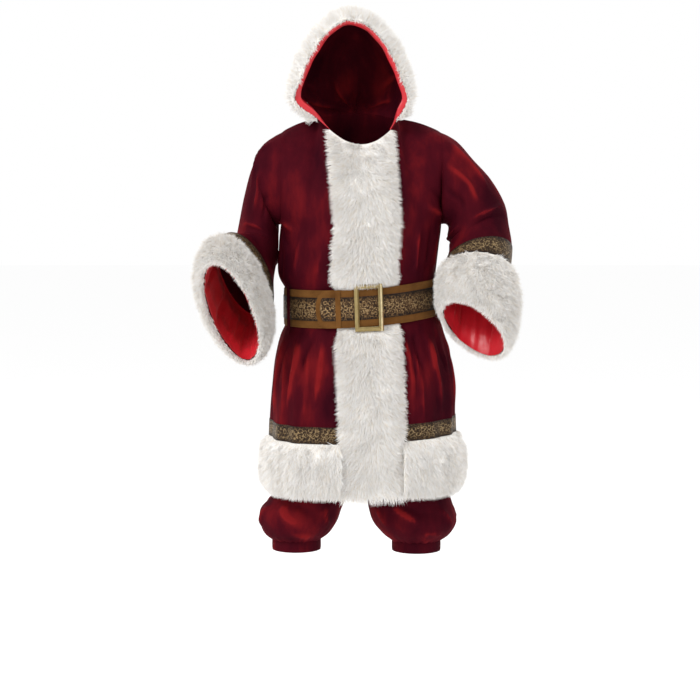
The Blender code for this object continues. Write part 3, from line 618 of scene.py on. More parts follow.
def sew(piece, cloth, node):
    """Puts the piece on the root body, hides its CAD node and prints its cut."""
    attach(piece, "root")
    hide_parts(node)
    u, v = cloth.lengths()
    area = cloth.area()
    flat = (max(u[-1], SHORTEST_SIDE), max(v[-1], SHORTEST_SIDE))
    grown = max(1.0, area / (flat[0] * flat[1]) * CUT_ALLOWANCE)
    flat = (round(flat[0] * grown, 4), round(flat[1], 4))
    area = min(round(area, 4), flat[0] * flat[1])
    print(f"{piece.name}: cut {flat[0] * 1000:.0f} x {flat[1] * 1000:.0f} mm, {area:.3f} m2,",
          f"{len(piece.data.polygons)} faces")
    return piece


# %% [markdown]
# ## Shader maths
# A material is a small sum: colour here, roughness there. Wrapping a node's output in a class
# with its own + and * lets the sum be written as one, and Blender still gets plain Math nodes.

# %% The socket wrapper
class Socket:
    def __init__(self, tree, link):
        self.tree = tree
        self.link = link

    def node(self, kind, inputs=None, out=0, **settings):
        made = self.tree.nodes.new(kind)
        ramp = settings.pop("ramp", None)
        for key, value in settings.items():
            setattr(made, key, value)
        if ramp is not None:
            while len(made.color_ramp.elements) < len(ramp):
                made.color_ramp.elements.new(0.5)
            for element, (place, colour) in zip(made.color_ramp.elements, ramp):
                element.position = place
                element.color = (*colour, 1)
        for key, value in (inputs or {}).items():
            if isinstance(value, Socket):
                self.tree.links.new(value.link, made.inputs[key])
            else:
                made.inputs[key].default_value = value
        return Socket(self.tree, made.outputs[out])

    def math(self, operation, *others, first=None):
        values = [self if first is None else first, *others]
        return self.node("ShaderNodeMath", dict(enumerate(values)), operation=operation)

    def __add__(self, other):
        return self.math("ADD", other)

    def __radd__(self, other):
        return self.math("ADD", self, first=other)

    def __sub__(self, other):
        return self.math("SUBTRACT", other)

    def __rsub__(self, other):
        return self.math("SUBTRACT", self, first=other)

    def __mul__(self, other):
        return self.math("MULTIPLY", other)

    def __rmul__(self, other):
        return self.math("MULTIPLY", self, first=other)

    def mix(self, dark, light):
        """A colour between two, with this value as the share."""
        return self.node("ShaderNodeMix", {0: self, 6: dark, 7: light}, out=2, data_type="RGBA")

    def ramp(self, *stops):
        """A colour from a ramp of places and colours, with this value as the place."""
        return self.node("ShaderNodeValToRGB", {"Fac": self}, ramp=stops)

    def clamp(self, low=0.0, high=1.0):
        return self.node("ShaderNodeClamp", {"Value": self, "Min": low, "Max": high})


def new_finish(name, metallic=0.0, roughness=0.8, **constants):
    """A material, its shader and two places to read: the cloth's map in metres, and the object."""
    finish = bpy.data.materials.new(name)
    finish.use_nodes = True
    tree = finish.node_tree
    shader = tree.nodes["Principled BSDF"]
    shader.inputs["Metallic"].default_value = metallic
    shader.inputs["Roughness"].default_value = roughness
    for key, value in constants.items():
        shader.inputs[key.replace("_", " ")].default_value = value
    places = tree.nodes.new("ShaderNodeTexCoord")
    metres = tree.nodes.new("ShaderNodeUVMap")
    metres.uv_map = "metres"
    return finish, shader, Socket(tree, metres.outputs[0]), Socket(tree, places.outputs["Object"])


def feed(shader, name, value):
    value.tree.links.new(value.link, shader.inputs[name])


def bumped(shader, height, strength, distance):
    made = height.node("ShaderNodeBump", {"Height": height, "Strength": strength, "Distance": distance})
    feed(shader, "Normal", made)


def noise(place, scale, detail=2.0, roughness=0.5, out=0):
    inputs = {"Vector": place, "Scale": scale, "Detail": detail, "Roughness": roughness}
    return place.node("ShaderNodeTexNoise", inputs, out=out)


# %% [markdown]
# ## Velvet
# Velvet is a forest of short upright threads. Seen straight on it swallows light, and at a
# grazing angle the threads' sides shine: that is the sheen. Where the pile has been stroked it
# looks paler, in streaks that run down the cloth, so the colour has soft long patches. The colour
# also holds painted light: a painted highlight along the tops of the folds, and painted shade in
# their troughs and in the seams.

# %% Velvet
def make_velvet():
    finish, shader, _, place = new_finish("wine_velvet", roughness=0.75, Sheen_Weight=0.10,
                                          Sheen_Roughness=0.35, Sheen_Tint=(0.9, 0.03, 0.05, 1),
                                          Specular_IOR_Level=0.02)
    stretched = place.node("ShaderNodeMapping", {"Vector": place, "Scale": (1.0, 1.0, 0.38)})
    strokes = noise(stretched, 15.0, 4.0, 0.55)
    nap = noise(place, 5.0, 2.0)
    # The crease height paints light into the colour: a painted highlight on the tops of folds, painted
    # shade in their troughs and in the seam grooves.
    crest = place.node("ShaderNodeAttribute", attribute_name="crest", out=2)
    line = crest.clamp() * crest.clamp() * crest.clamp()
    painted_fold_shading = (line + crest * 0.35).clamp(-0.5, 1.2) * (strokes * 1.6 - 0.1).clamp(0.25, 1.1)
    share = ((strokes - 0.42) * 1.5 + (nap - 0.5) * 1.2 + painted_fold_shading * 0.85 + 0.24).clamp()
    feed(shader, "Base Color", share.ramp(
        (0.0, (0.026, 0.0016, 0.0052)), (0.42, (0.056, 0.0030, 0.0072)), (1.0, (0.172, 0.0085, 0.0105))))
    pile = noise(place, 900.0, 2.0)
    rough = (nap * 0.12 + 0.66).clamp()
    feed(shader, "Roughness", rough)
    bumped(shader, pile + strokes * 1.5, 0.20, 0.0012)
    return finish


VELVET = make_velvet()

# %% [markdown]
# ## Fur and satin
# The fur has two whites: clean tips, and a creamier tone on some hairs and deep in the pile. The
# undercoat deep in the pile is also painted darker than the hairs, as painted shade. Each hair is
# far too thin for a pattern of its own, so one plain colour for each white is enough, and the
# pattern comes from how the two are mixed. Satin is smooth and glossy with faint puckers.

# %% Fur
def make_fur(name, colour):
    finish, shader, _, _ = new_finish(name, roughness=0.9, Sheen_Weight=0.25,
                                      Sheen_Tint=(1, 1, 1, 1), Specular_IOR_Level=0.15)
    shader.inputs["Base Color"].default_value = (*colour, 1)
    return finish


def make_undercoat():
    finish, shader, _, place = new_finish("fur_undercoat", roughness=0.95, Specular_IOR_Level=0.1)
    # A creamier white, painted darker than the hairs: painted shade deep in the pile.
    soft = noise(place, 60.0, 4.0)
    feed(shader, "Base Color", soft.mix((0.62, 0.58, 0.53, 1), (0.80, 0.77, 0.73, 1)))
    bumped(shader, noise(place, 320.0, 3.0), 0.6, 0.002)
    return finish


FUR_WHITE = make_fur("fur_white", (0.90, 0.885, 0.865))
FUR_CREAM = make_fur("fur_cream", (0.83, 0.775, 0.70))
UNDERCOAT = make_undercoat()


# %% Satin
def make_satin():
    finish, shader, _, place = new_finish("red_satin", roughness=0.34, Sheen_Weight=0.2,
                                          Sheen_Tint=(1, 0.3, 0.3, 1))
    tone = noise(place, 22.0, 3.0)
    feed(shader, "Base Color", tone.mix((0.42, 0.006, 0.014, 1), (0.66, 0.016, 0.028, 1)))
    feed(shader, "Roughness", (tone * 0.2 + 0.25).clamp())
    bumped(shader, noise(place, 45.0, 3.0) + noise(place, 700.0, 1.0) * 0.15, 0.35, 0.004)
    return finish


SATIN_RED = make_satin()


# %% [markdown]
# ## Brocade
# A brocade ribbon is woven with metal threads in scrolls. A drawn tile would repeat, so rounded
# Voronoi cells and thin arcs make the scrolls here, crossed by the ribs of the weave. They read
# the cloth's own map in metres, so that the pattern follows the ribbon round the suit.

# %% Brocade
WEAVE = 5200.0  # radians of thread to a metre


def make_brocade(name, gold, wide):
    finish, shader, cloth, _ = new_finish(name, metallic=0.4, roughness=0.5, Specular_IOR_Level=0.15)
    cells = cloth.node("ShaderNodeTexVoronoi", {"Vector": cloth, "Scale": 185.0, "Randomness": 0.9},
                       feature="DISTANCE_TO_EDGE")
    arcs = cloth.node("ShaderNodeTexVoronoi", {"Vector": cloth, "Scale": 98.0, "Randomness": 0.8})
    rings = (arcs * 14.0).math("SINE")
    scroll = ((cells * 9.0).clamp() * 0.55 + (rings * 0.5 + 0.5) * 0.55 - 0.12).clamp()
    ribs = (cloth.node("ShaderNodeSeparateXYZ", {"Vector": cloth}, out=0) * WEAVE).math("SINE")
    rise = cloth.node("ShaderNodeSeparateXYZ", {"Vector": cloth}, out=1)
    wefts = (rise * WEAVE).math("SINE")
    weave = (ribs * wefts) * 0.5 + 0.5
    edge = (rise * (2 / wide) - 1.0).math("ABSOLUTE")
    middle = 1.06 - edge * edge * edge * 0.50
    share = ((scroll * 0.8 + weave * 0.2) * middle).clamp()
    feed(shader, "Base Color", share.ramp(
        (0.24, (0.012, 0.008, 0.007)), (0.46, (0.040, 0.024, 0.013)), (0.70, gold),
        (0.98, (0.40, 0.28, 0.14))))
    feed(shader, "Roughness", (0.62 - scroll * 0.25).clamp())
    bumped(shader, scroll + weave * 0.4, 0.55, 0.0008)
    return finish


BROCADE = make_brocade("gold_brocade", (0.088, 0.052, 0.024), 0.048)
RIBBON = make_brocade("belt_brocade", (0.150, 0.080, 0.032), 0.060)


# %% [markdown]
# ## Suede and brass
# The belt's suede is cloudy, with a fine grain, and paler where it is rubbed. Old brass is darker
# in patches and scratched along its bars, and the rod is newer and brighter than the frame.

# %% Suede
def make_suede():
    finish, shader, _, place = new_finish("brown_suede", roughness=0.85, Sheen_Weight=0.1,
                                          Sheen_Tint=(1.0, 0.6, 0.3, 1), Specular_IOR_Level=0.08)
    cloudy = noise(place, 26.0, 5.0, 0.6)
    grain = noise(place, 650.0, 3.0)
    share = (cloudy * 1.5 - 0.35 + (grain - 0.5) * 0.3).clamp()
    feed(shader, "Base Color", share.mix((0.085, 0.034, 0.008, 1), (0.180, 0.078, 0.020, 1)))
    bumped(shader, grain + cloudy * 0.6, 0.35, 0.0009)
    return finish


SUEDE = make_suede()


# %% Brass
def make_brass(name, dark, light, roughness):
    finish, shader, _, place = new_finish(name, metallic=1.0, roughness=roughness)
    worn = noise(place, 55.0, 4.0, 0.6)
    scratch = noise(place.node("ShaderNodeMapping", {"Vector": place, "Scale": (900, 900, 60)}), 1.0, 2.0)
    feed(shader, "Base Color", worn.mix((*dark, 1), (*light, 1)))
    feed(shader, "Roughness", (worn * 0.15 + scratch * 0.10 + roughness - 0.1).clamp())
    bumped(shader, scratch + worn, 0.12, 0.0006)
    return finish


ANTIQUE_BRASS = make_brass("antique_brass", (0.20, 0.14, 0.055), (0.55, 0.43, 0.20), 0.33)
BRIGHT_BRASS = make_brass("rod_brass", (0.42, 0.33, 0.16), (0.80, 0.68, 0.42), 0.2)
print("finishes:", len(bpy.data.materials))

# %% [markdown]
# ## Creases
# A crease is a soft ridge or trough between two places on the cloth. Real ones differ in length,
# depth and spacing, so they are listed one by one: from where, to where, how wide and how high. On
# the coat a place is an angle round the body from the front towards the wearer's left, and a
# height. Sculpting would do as well, but a table can be read and changed.

# %% Crease table and its rule
Crease = namedtuple("Crease", "turn_a up_a turn_b up_b width depth")
COAT_RADIUS = 0.215  # metres of cloth for one radian round the coat
BOW = 0.036  # a crease bends sideways by this share of its length


def crease_heights(turn, up, creases, radius):
    """How far the creases move each point. Turn is in degrees, up in metres."""
    total = np.zeros_like(turn)
    scale = radius * math.pi / 180
    for crease in creases:
        x = ((turn - crease.turn_a + 180) % 360 - 180) * scale
        z = up - crease.up_a
        run = (crease.turn_b - crease.turn_a) * scale
        rise = crease.up_b - crease.up_a
        length = math.hypot(run, rise)
        along = (x * run + z * rise) / length**2
        bow = BOW * length * (1 if crease.depth > 0 else -1)
        off = (x * rise - z * run) / length + bow * np.sin(np.clip(along, 0, 1) * math.pi)
        fade = ease(along * 3.2 + 0.12) * ease((1 - along) * 2.4 + 0.12)
        total += 1.2 * crease.depth * fade * np.exp(-((off / (0.8 * crease.width)) ** 2))
    return total


COAT_CREASES = (
    # Under the belt in front, fanning out.
    Crease(-33, -0.580, -37, -0.790, 0.009, 0.0070),
    Crease(-41, -0.575, -47, -0.700, 0.008, -0.0060),
    Crease(-50, -0.580, -58, -0.800, 0.010, 0.0085),
    Crease(-61, -0.585, -68, -0.720, 0.008, -0.0055),
    Crease(-70, -0.575, -76, -0.830, 0.011, 0.0075),
    Crease(38, -0.570, 41, -0.760, 0.009, 0.0070),
    Crease(47, -0.565, 52, -0.690, 0.008, -0.0060),
    Crease(57, -0.560, 63, -0.820, 0.010, 0.0085),
    Crease(68, -0.560, 74, -0.700, 0.008, -0.0050),
    Crease(80, -0.555, 85, -0.810, 0.011, 0.0075),
    Crease(-44, -0.600, -44, -0.840, 0.007, 0.0050),
    Crease(-54, -0.590, -52, -0.700, 0.007, 0.0045),
    Crease(-64, -0.600, -62, -0.850, 0.008, 0.0055),
    Crease(44, -0.590, 47, -0.850, 0.007, 0.0055),
    Crease(62, -0.585, 58, -0.690, 0.007, 0.0045),
    Crease(72, -0.600, 70, -0.860, 0.008, 0.0055),
    # Over the belt in front, the blouse of the body.
    Crease(-38, -0.425, -34, -0.340, 0.010, 0.0045),
    Crease(-55, -0.425, -51, -0.300, 0.010, 0.0050),
    Crease(-72, -0.425, -74, -0.330, 0.012, -0.0050),
    Crease(36, -0.420, 33, -0.330, 0.009, 0.0045),
    Crease(52, -0.420, 56, -0.280, 0.009, 0.0070),
    Crease(63, -0.415, 67, -0.270, 0.008, -0.0060),
    Crease(74, -0.415, 78, -0.260, 0.009, 0.0065),
    # From the armpits across the chest.
    Crease(-84, -0.262, -58, -0.300, 0.010, 0.0060),
    Crease(-80, -0.285, -60, -0.345, 0.010, -0.0045),
    Crease(82, -0.255, 60, -0.225, 0.011, 0.0055),
    Crease(80, -0.240, 64, -0.170, 0.011, -0.0045),
    # The back and the sides, in the same manner.
    Crease(112, -0.580, 116, -0.800, 0.011, 0.0080),
    Crease(126, -0.580, 131, -0.700, 0.009, -0.0060),
    Crease(143, -0.580, 147, -0.820, 0.011, 0.0085),
    Crease(168, -0.580, 170, -0.770, 0.010, 0.0070),
    Crease(181, -0.580, 181, -0.700, 0.009, -0.0055),
    Crease(197, -0.580, 194, -0.810, 0.011, 0.0085),
    Crease(213, -0.580, 209, -0.710, 0.009, -0.0060),
    Crease(232, -0.580, 227, -0.830, 0.011, 0.0080),
    Crease(248, -0.580, 244, -0.740, 0.010, 0.0065),
    Crease(130, -0.415, 134, -0.280, 0.011, 0.0060),
    Crease(158, -0.415, 155, -0.300, 0.010, 0.0050),
    Crease(203, -0.415, 207, -0.290, 0.011, 0.0055),
    Crease(228, -0.415, 222, -0.270, 0.011, 0.0060),
    Crease(100, -0.260, 135, -0.230, 0.012, 0.0060),
    Crease(258, -0.260, 228, -0.215, 0.012, 0.0060),
)

# %% [markdown]
# ## The coat's body
# Two fronts and a back meet at the side seams. Each front is fitted with the neighbours' first
# columns as ghosts, so that the cloth runs on smoothly across a seam, and every seam is then
# drawn in by a millimetre, as the stitches pull it.

# %% Coat panels
SEAM_DIP = 0.0016
SEAM_WIDTH = 0.006


def seam_dips(cloth, start=True, end=True):
    """A soft groove along the cloth's first and last columns."""
    along = np.linalg.norm(np.diff(cloth.points, axis=1), axis=2)
    place = np.concatenate([np.zeros((len(along), 1)), np.cumsum(along, axis=1)], axis=1)
    dip = np.zeros(place.shape)
    if start:
        dip -= SEAM_DIP * np.exp(-((place / SEAM_WIDTH) ** 2))
    if end:
        dip -= SEAM_DIP * np.exp(-(((place[:, -1:] - place) / SEAM_WIDTH) ** 2))
    return dip


def beyond(panel, other, rows):
    """The ghost column beyond a seam: the other panel's, and above the armpit a straight run."""
    edge, inner = panel
    ghost = 2 * edge - inner
    ghost[:rows] = other[:rows]
    return ghost


def creased_coat(cloth, dips):
    points = cloth.points
    turn = np.degrees(np.arctan2(points[..., 0], -points[..., 1]))
    heights = crease_heights(turn, points[..., 2], COAT_CREASES, COAT_RADIUS)
    return cloth.raised(heights + dips)


def make_coat_panels():
    front_right, front_left = coat_panel(-1, True), coat_panel(1, True)
    back = np.concatenate([coat_panel(1, False), coat_panel(-1, False)[:, 1:]], axis=1)
    low = len(COAT_RINGS)
    levels = places_of(np.concatenate([front_left, back, front_right], axis=1))
    left = fine_cloth(front_left, left=front_right[:, -2], levels=levels,
                      right=beyond((front_left[:, -1], front_left[:, -2]), back[:, 1], low))
    rear = fine_cloth(back, left=beyond((back[:, 0], back[:, 1]), front_left[:, -2], low),
                      right=beyond((back[:, -1], back[:, -2]), front_right[:, 1], low), levels=levels)
    right = fine_cloth(front_right, right=front_left[:, 1], levels=levels,
                       left=beyond((front_right[:, 0], front_right[:, 1]), back[:, -2], low))
    panels = {"coat_front_left": left, "coat_back": rear, "coat_front_right": right}
    for name, cloth in panels.items():
        start = name != "coat_front_left"
        end = name != "coat_front_right"
        panels[name] = creased_coat(cloth, seam_dips(cloth, start, end))
    return panels


COAT = make_coat_panels()
for name, cloth in COAT.items():
    piece = add_shell(name, cloth, -CLOTH / 2, CLOTH / 2, VELVET)
    sew(piece, cloth, name)


# %% [markdown]
# ## The sleeves
# Each sleeve is a tube from the armhole to the cuff's mouth. Its creases are placed by a share of
# its length and an angle round it, because an arm bends: at the elbow short folds lie one above
# the other on the inner side, and long soft ones run down from the shoulder.

# %% Sleeves
SLEEVE_RADIUS = 0.095
# Here "up" is metres along the sleeve from the armhole, and the turn starts at the outer line.
SLEEVE_CREASES_RIGHT = (
    Crease(20, 0.020, 50, 0.130, 0.010, 0.0060),
    Crease(-25, 0.015, -48, 0.110, 0.010, 0.0055),
    Crease(75, 0.030, 70, 0.170, 0.010, 0.0065),
    Crease(-70, 0.030, -72, 0.150, 0.010, 0.0060),
    Crease(110, 0.020, 98, 0.120, 0.009, -0.0050),
    Crease(-112, 0.020, -100, 0.140, 0.009, -0.0050),
    Crease(40, 0.190, 120, 0.165, 0.009, 0.0060),
    Crease(60, 0.215, 150, 0.200, 0.009, -0.0055),
    Crease(-35, 0.190, -110, 0.172, 0.009, 0.0055),
    Crease(-60, 0.220, -140, 0.205, 0.009, -0.0050),
    Crease(90, 0.240, 190, 0.230, 0.010, 0.0055),
    Crease(0, 0.230, 10, 0.290, 0.009, 0.0050),
)
SLEEVE_CREASES_LEFT = (
    # The two ridges that cross the front of the elbow, and the dent between them.
    Crease(-10, 0.180, -118, 0.150, 0.0085, 0.0115),
    Crease(-14, 0.208, -110, 0.188, 0.0080, 0.0100),
    Crease(-18, 0.194, -112, 0.169, 0.0070, -0.0080),
    Crease(-8, 0.212, -70, 0.226, 0.0080, -0.0050),
    Crease(-12, 0.232, -75, 0.246, 0.0090, 0.0055),
    # Long folds down from the armhole.
    Crease(-75, 0.010, -85, 0.125, 0.0085, -0.0060),
    Crease(-88, 0.010, -100, 0.140, 0.0085, 0.0065),
    Crease(-55, 0.020, -58, 0.135, 0.0095, 0.0050),
    Crease(-25, 0.030, -35, 0.130, 0.0100, -0.0040),
    Crease(30, 0.020, 45, 0.150, 0.0100, 0.0060),
    Crease(70, 0.020, 75, 0.160, 0.0100, 0.0060),
    Crease(100, 0.030, 95, 0.130, 0.0090, -0.0055),
    Crease(25, 0.185, 110, 0.170, 0.0085, 0.0060),
    Crease(30, 0.215, 120, 0.200, 0.0080, -0.0050),
    Crease(120, 0.150, 200, 0.160, 0.0090, 0.0060),
    Crease(125, 0.185, 210, 0.190, 0.0090, -0.0050),
)


def smooth_armhole(cloth):
    """Creases fade out over the tube's first rows, so that it doesn't cross the coat."""
    fading_rows = 5.0
    return ease(np.arange(cloth.points.shape[0]) / fading_rows)[:, None]


def make_sleeve(word, side, cuffs, creases):
    grid = sleeve_grid(side, cuffs)
    cloth = fine_cloth(grid, ring=True, size=SLEEVE_FINE)
    along = cloth.lengths()[1]
    turn, up = np.meshgrid(column_turns(cloth, SLEEVE_COLUMNS), along)
    trimmed = along[cloth.rows[cuff_row(cuffs, "brocade")]]
    heights = crease_heights(turn, up, creases, SLEEVE_RADIUS) * smooth_armhole(cloth)
    heights *= 1 - ease((up - trimmed + 0.030) / 0.030)
    heights -= SEAM_DIP * 1.3 * np.exp(-((up / SEAM_WIDTH) ** 2))
    cloth = cloth.raised(heights)
    shown = cloth.part(slice(0, -1))
    piece = add_shell("sleeve_" + word, shown, -CLOTH / 2, CLOTH / 2, VELVET)
    sew(piece, shown, "sleeve_" + word)
    return cloth


SLEEVES = {
    "right": (make_sleeve("right", -1, SLEEVE_RIGHT, SLEEVE_CREASES_RIGHT), SLEEVE_RIGHT),
    "left": (make_sleeve("left", 1, SLEEVE_LEFT, SLEEVE_CREASES_LEFT), SLEEVE_LEFT),
}

# %% [markdown]
# ## Cuff facings and ribbons
# Inside each bell cuff is a facing of bright satin, which shows as the mouth turns forwards. It
# puckers where the fur's backing is caught down: small folds run from the mouth's lower edge
# back into the sleeve. The brocade ribbon lies on the velvet just above the fur.

# %% Facings and ribbons of the cuffs
PUCKERS = (  # the angle round the cuff, the width and the height of each satin fold
    (20, 0.008, 0.0050), (48, 0.006, -0.0040), (75, 0.009, 0.0055), (104, 0.007, -0.0045),
    (130, 0.008, 0.0065), (155, 0.006, -0.0055), (176, 0.008, 0.0075), (198, 0.006, -0.0055),
    (219, 0.008, 0.0065), (243, 0.007, -0.0045), (270, 0.009, 0.0055), (300, 0.007, -0.0040),
    (332, 0.008, 0.0050),
)


def pucker_heights(columns, rows):
    turn = np.arange(columns) * 360 / columns
    heights = np.zeros(columns)
    for angle, width, height in PUCKERS:
        away = ((turn - angle + 180) % 360 - 180) * SLEEVE_RADIUS * math.pi / 180
        heights += 1.7 * height * np.exp(-((away / width) ** 2))
    share = np.linspace(0, 1, rows)
    fade = ease(share * 3) * (1 - 0.75 * ease((share - 0.75) * 4))
    return -np.abs(fade[:, None] * (heights - heights.max()))


for word, (cloth, cuffs) in SLEEVES.items():
    head = cloth.rows[cuff_row(cuffs, "brocade")]
    foot = cloth.rows[cuff_row(cuffs, "fur_head")]
    ribbon = cloth.part(slice(head, foot + 1))
    piece = add_shell("cuff_brocade_" + word, ribbon, CLOTH / 2 + GAP, CLOTH / 2 + GAP + TRIM, BROCADE)
    sew(piece, ribbon, "cuff_brocade_" + word)
    facing = cloth.part(slice(head, None))
    dips = pucker_heights(facing.points.shape[1], facing.points.shape[0])
    lining = facing.raised(dips - CLOTH / 2 - GAP - SATIN / 2)
    piece = add_shell("cuff_facing_" + word, lining, -SATIN / 2, SATIN / 2, SATIN_RED)
    sew(piece, lining, "cuff_facing_" + word)

# %% [markdown]
# ## The hood
# The hood is cut in two halves that meet along the crown, and it ends in a rounded pouch at the
# nape. Its mouth is faced with the same satin, of which a narrow strip shows inside the fur.

# %% Hood
HOOD_RADIUS = 0.15
HOOD_CREASES = (  # the turn is 0 at the crown, towards the wearer's left, and up is the distance back
    Crease(-62, 0.100, -44, 0.250, 0.012, 0.0060),
    Crease(-50, 0.080, -30, 0.200, 0.010, -0.0045),
    Crease(-72, 0.190, -50, 0.330, 0.012, 0.0065),
    Crease(60, 0.110, 42, 0.270, 0.012, 0.0065),
    Crease(48, 0.090, 26, 0.190, 0.010, -0.0045),
    Crease(70, 0.210, 48, 0.350, 0.012, 0.0060),
    Crease(-20, 0.240, -8, 0.380, 0.012, 0.0055),
    Crease(16, 0.250, 6, 0.370, 0.010, -0.0050),
)


def make_hood():
    right, left = hood_grid(-1), hood_grid(1)
    levels = places_of(np.concatenate([right, left], axis=1))
    right_cloth = fine_cloth(right, size=HOOD_FINE, right=left[:, 1], levels=levels)
    left_cloth = fine_cloth(left, size=HOOD_FINE, left=right[:, -2], levels=levels)
    halves = []
    for word, cloth, start, end in (("right", right_cloth, -90, 0), ("left", left_cloth, 0, 90)):
        turn, up = np.meshgrid(np.linspace(start, end, cloth.points.shape[1]), cloth.lengths()[1])
        heights = crease_heights(turn, up, HOOD_CREASES, HOOD_RADIUS)
        heights *= 1 - ease((np.abs(turn) - 66) / 14)
        heights -= SEAM_DIP * np.exp(-((turn * HOOD_RADIUS * math.pi / 180 / SEAM_WIDTH) ** 2))
        heights[-1] = 0
        folded = cloth.raised(heights)
        piece = add_shell("hood_" + word, folded, -CLOTH / 2, CLOTH / 2, VELVET)
        sew(piece, folded, "hood_" + word)
        halves.append(folded)
    points = np.concatenate([halves[0].points, halves[1].points[:, 1:]], axis=1)
    return Cloth(points, rows=halves[0].rows)


HOOD = make_hood()
hood_band = HOOD.part(slice(0, HOOD.rows[1] + 1))

# %% The facing's soft roll, thin towards both ends at the neck
ROLL = 0.013
facing = hood_band.raised(-CLOTH / 2 - GAP - SATIN / 2)
roll = np.sin(np.clip(np.linspace(0.18, 2.0, facing.points.shape[0]), 0, 1) * math.pi)[:, None]
round_face = np.linspace(-1, 1, facing.points.shape[1])
taper = 1 - ease((np.abs(round_face) - 0.80) / 0.20) * 0.9
uneven = taper + 0.12 * np.sin(round_face * 23) * np.sin(round_face * 9 + 1)
piece = add_shell("hood_facing", facing, -SATIN / 2 - ROLL * roll * uneven, SATIN / 2, SATIN_RED)
sew(piece, facing, "hood_facing")

# %% [markdown]
# ## The hem's ribbon
# The brocade runs round the skirt above the fur, from one edge of the front fur to the other. It
# is laid on the three panels' own points, so it follows their folds.

# %% Skirt ribbon
def skirt_cloth():
    """The skirt from one edge of the front fur, round the back, to the other."""
    left, back, right = COAT["coat_front_left"], COAT["coat_back"], COAT["coat_front_right"]
    rows = left.rows[ring_row("over_belt")] + 1
    start, end = left.columns[FUR_COLUMN], right.columns[FRONT_COLUMNS - FUR_COLUMN]
    points = [left.points[:rows, start:], back.points[:rows, 1:], right.points[:rows, 1:end + 1]]
    return Cloth(np.concatenate(points, axis=1), rows=left.rows)


SKIRT = skirt_cloth()
foot, head = (SKIRT.rows[ring_row(name)] for name in ("brocade_foot", "brocade_head"))
hem_ribbon = SKIRT.part(slice(foot, head + 1))
piece = add_shell("hem_brocade", hem_ribbon, CLOTH / 2 + GAP, CLOTH / 2 + GAP + TRIM, BROCADE)
sew(piece, hem_ribbon, "hem_brocade")

# %% [markdown]
# ## Fur that grows
# Faux fur is a cloth backing with long hairs. Particle hair would be lost in the export, so a
# Geometry Nodes tree scatters real tufts: it spreads points over the backing, turns each tuft
# along the way that the hair is combed there, and makes the copies real. The backing carries
# two attributes, the comb direction and the reach, and the tree reads them at each point.

# %% The fur tree
def tree_node(tree, kind, inputs=None, **settings):
    made = tree.nodes.new(kind)
    for key, value in settings.items():
        setattr(made, key, value)
    for key, value in (inputs or {}).items():
        if isinstance(value, bpy.types.NodeSocket):
            tree.links.new(value, made.inputs[key])
        else:
            made.inputs[key].default_value = value
    return made


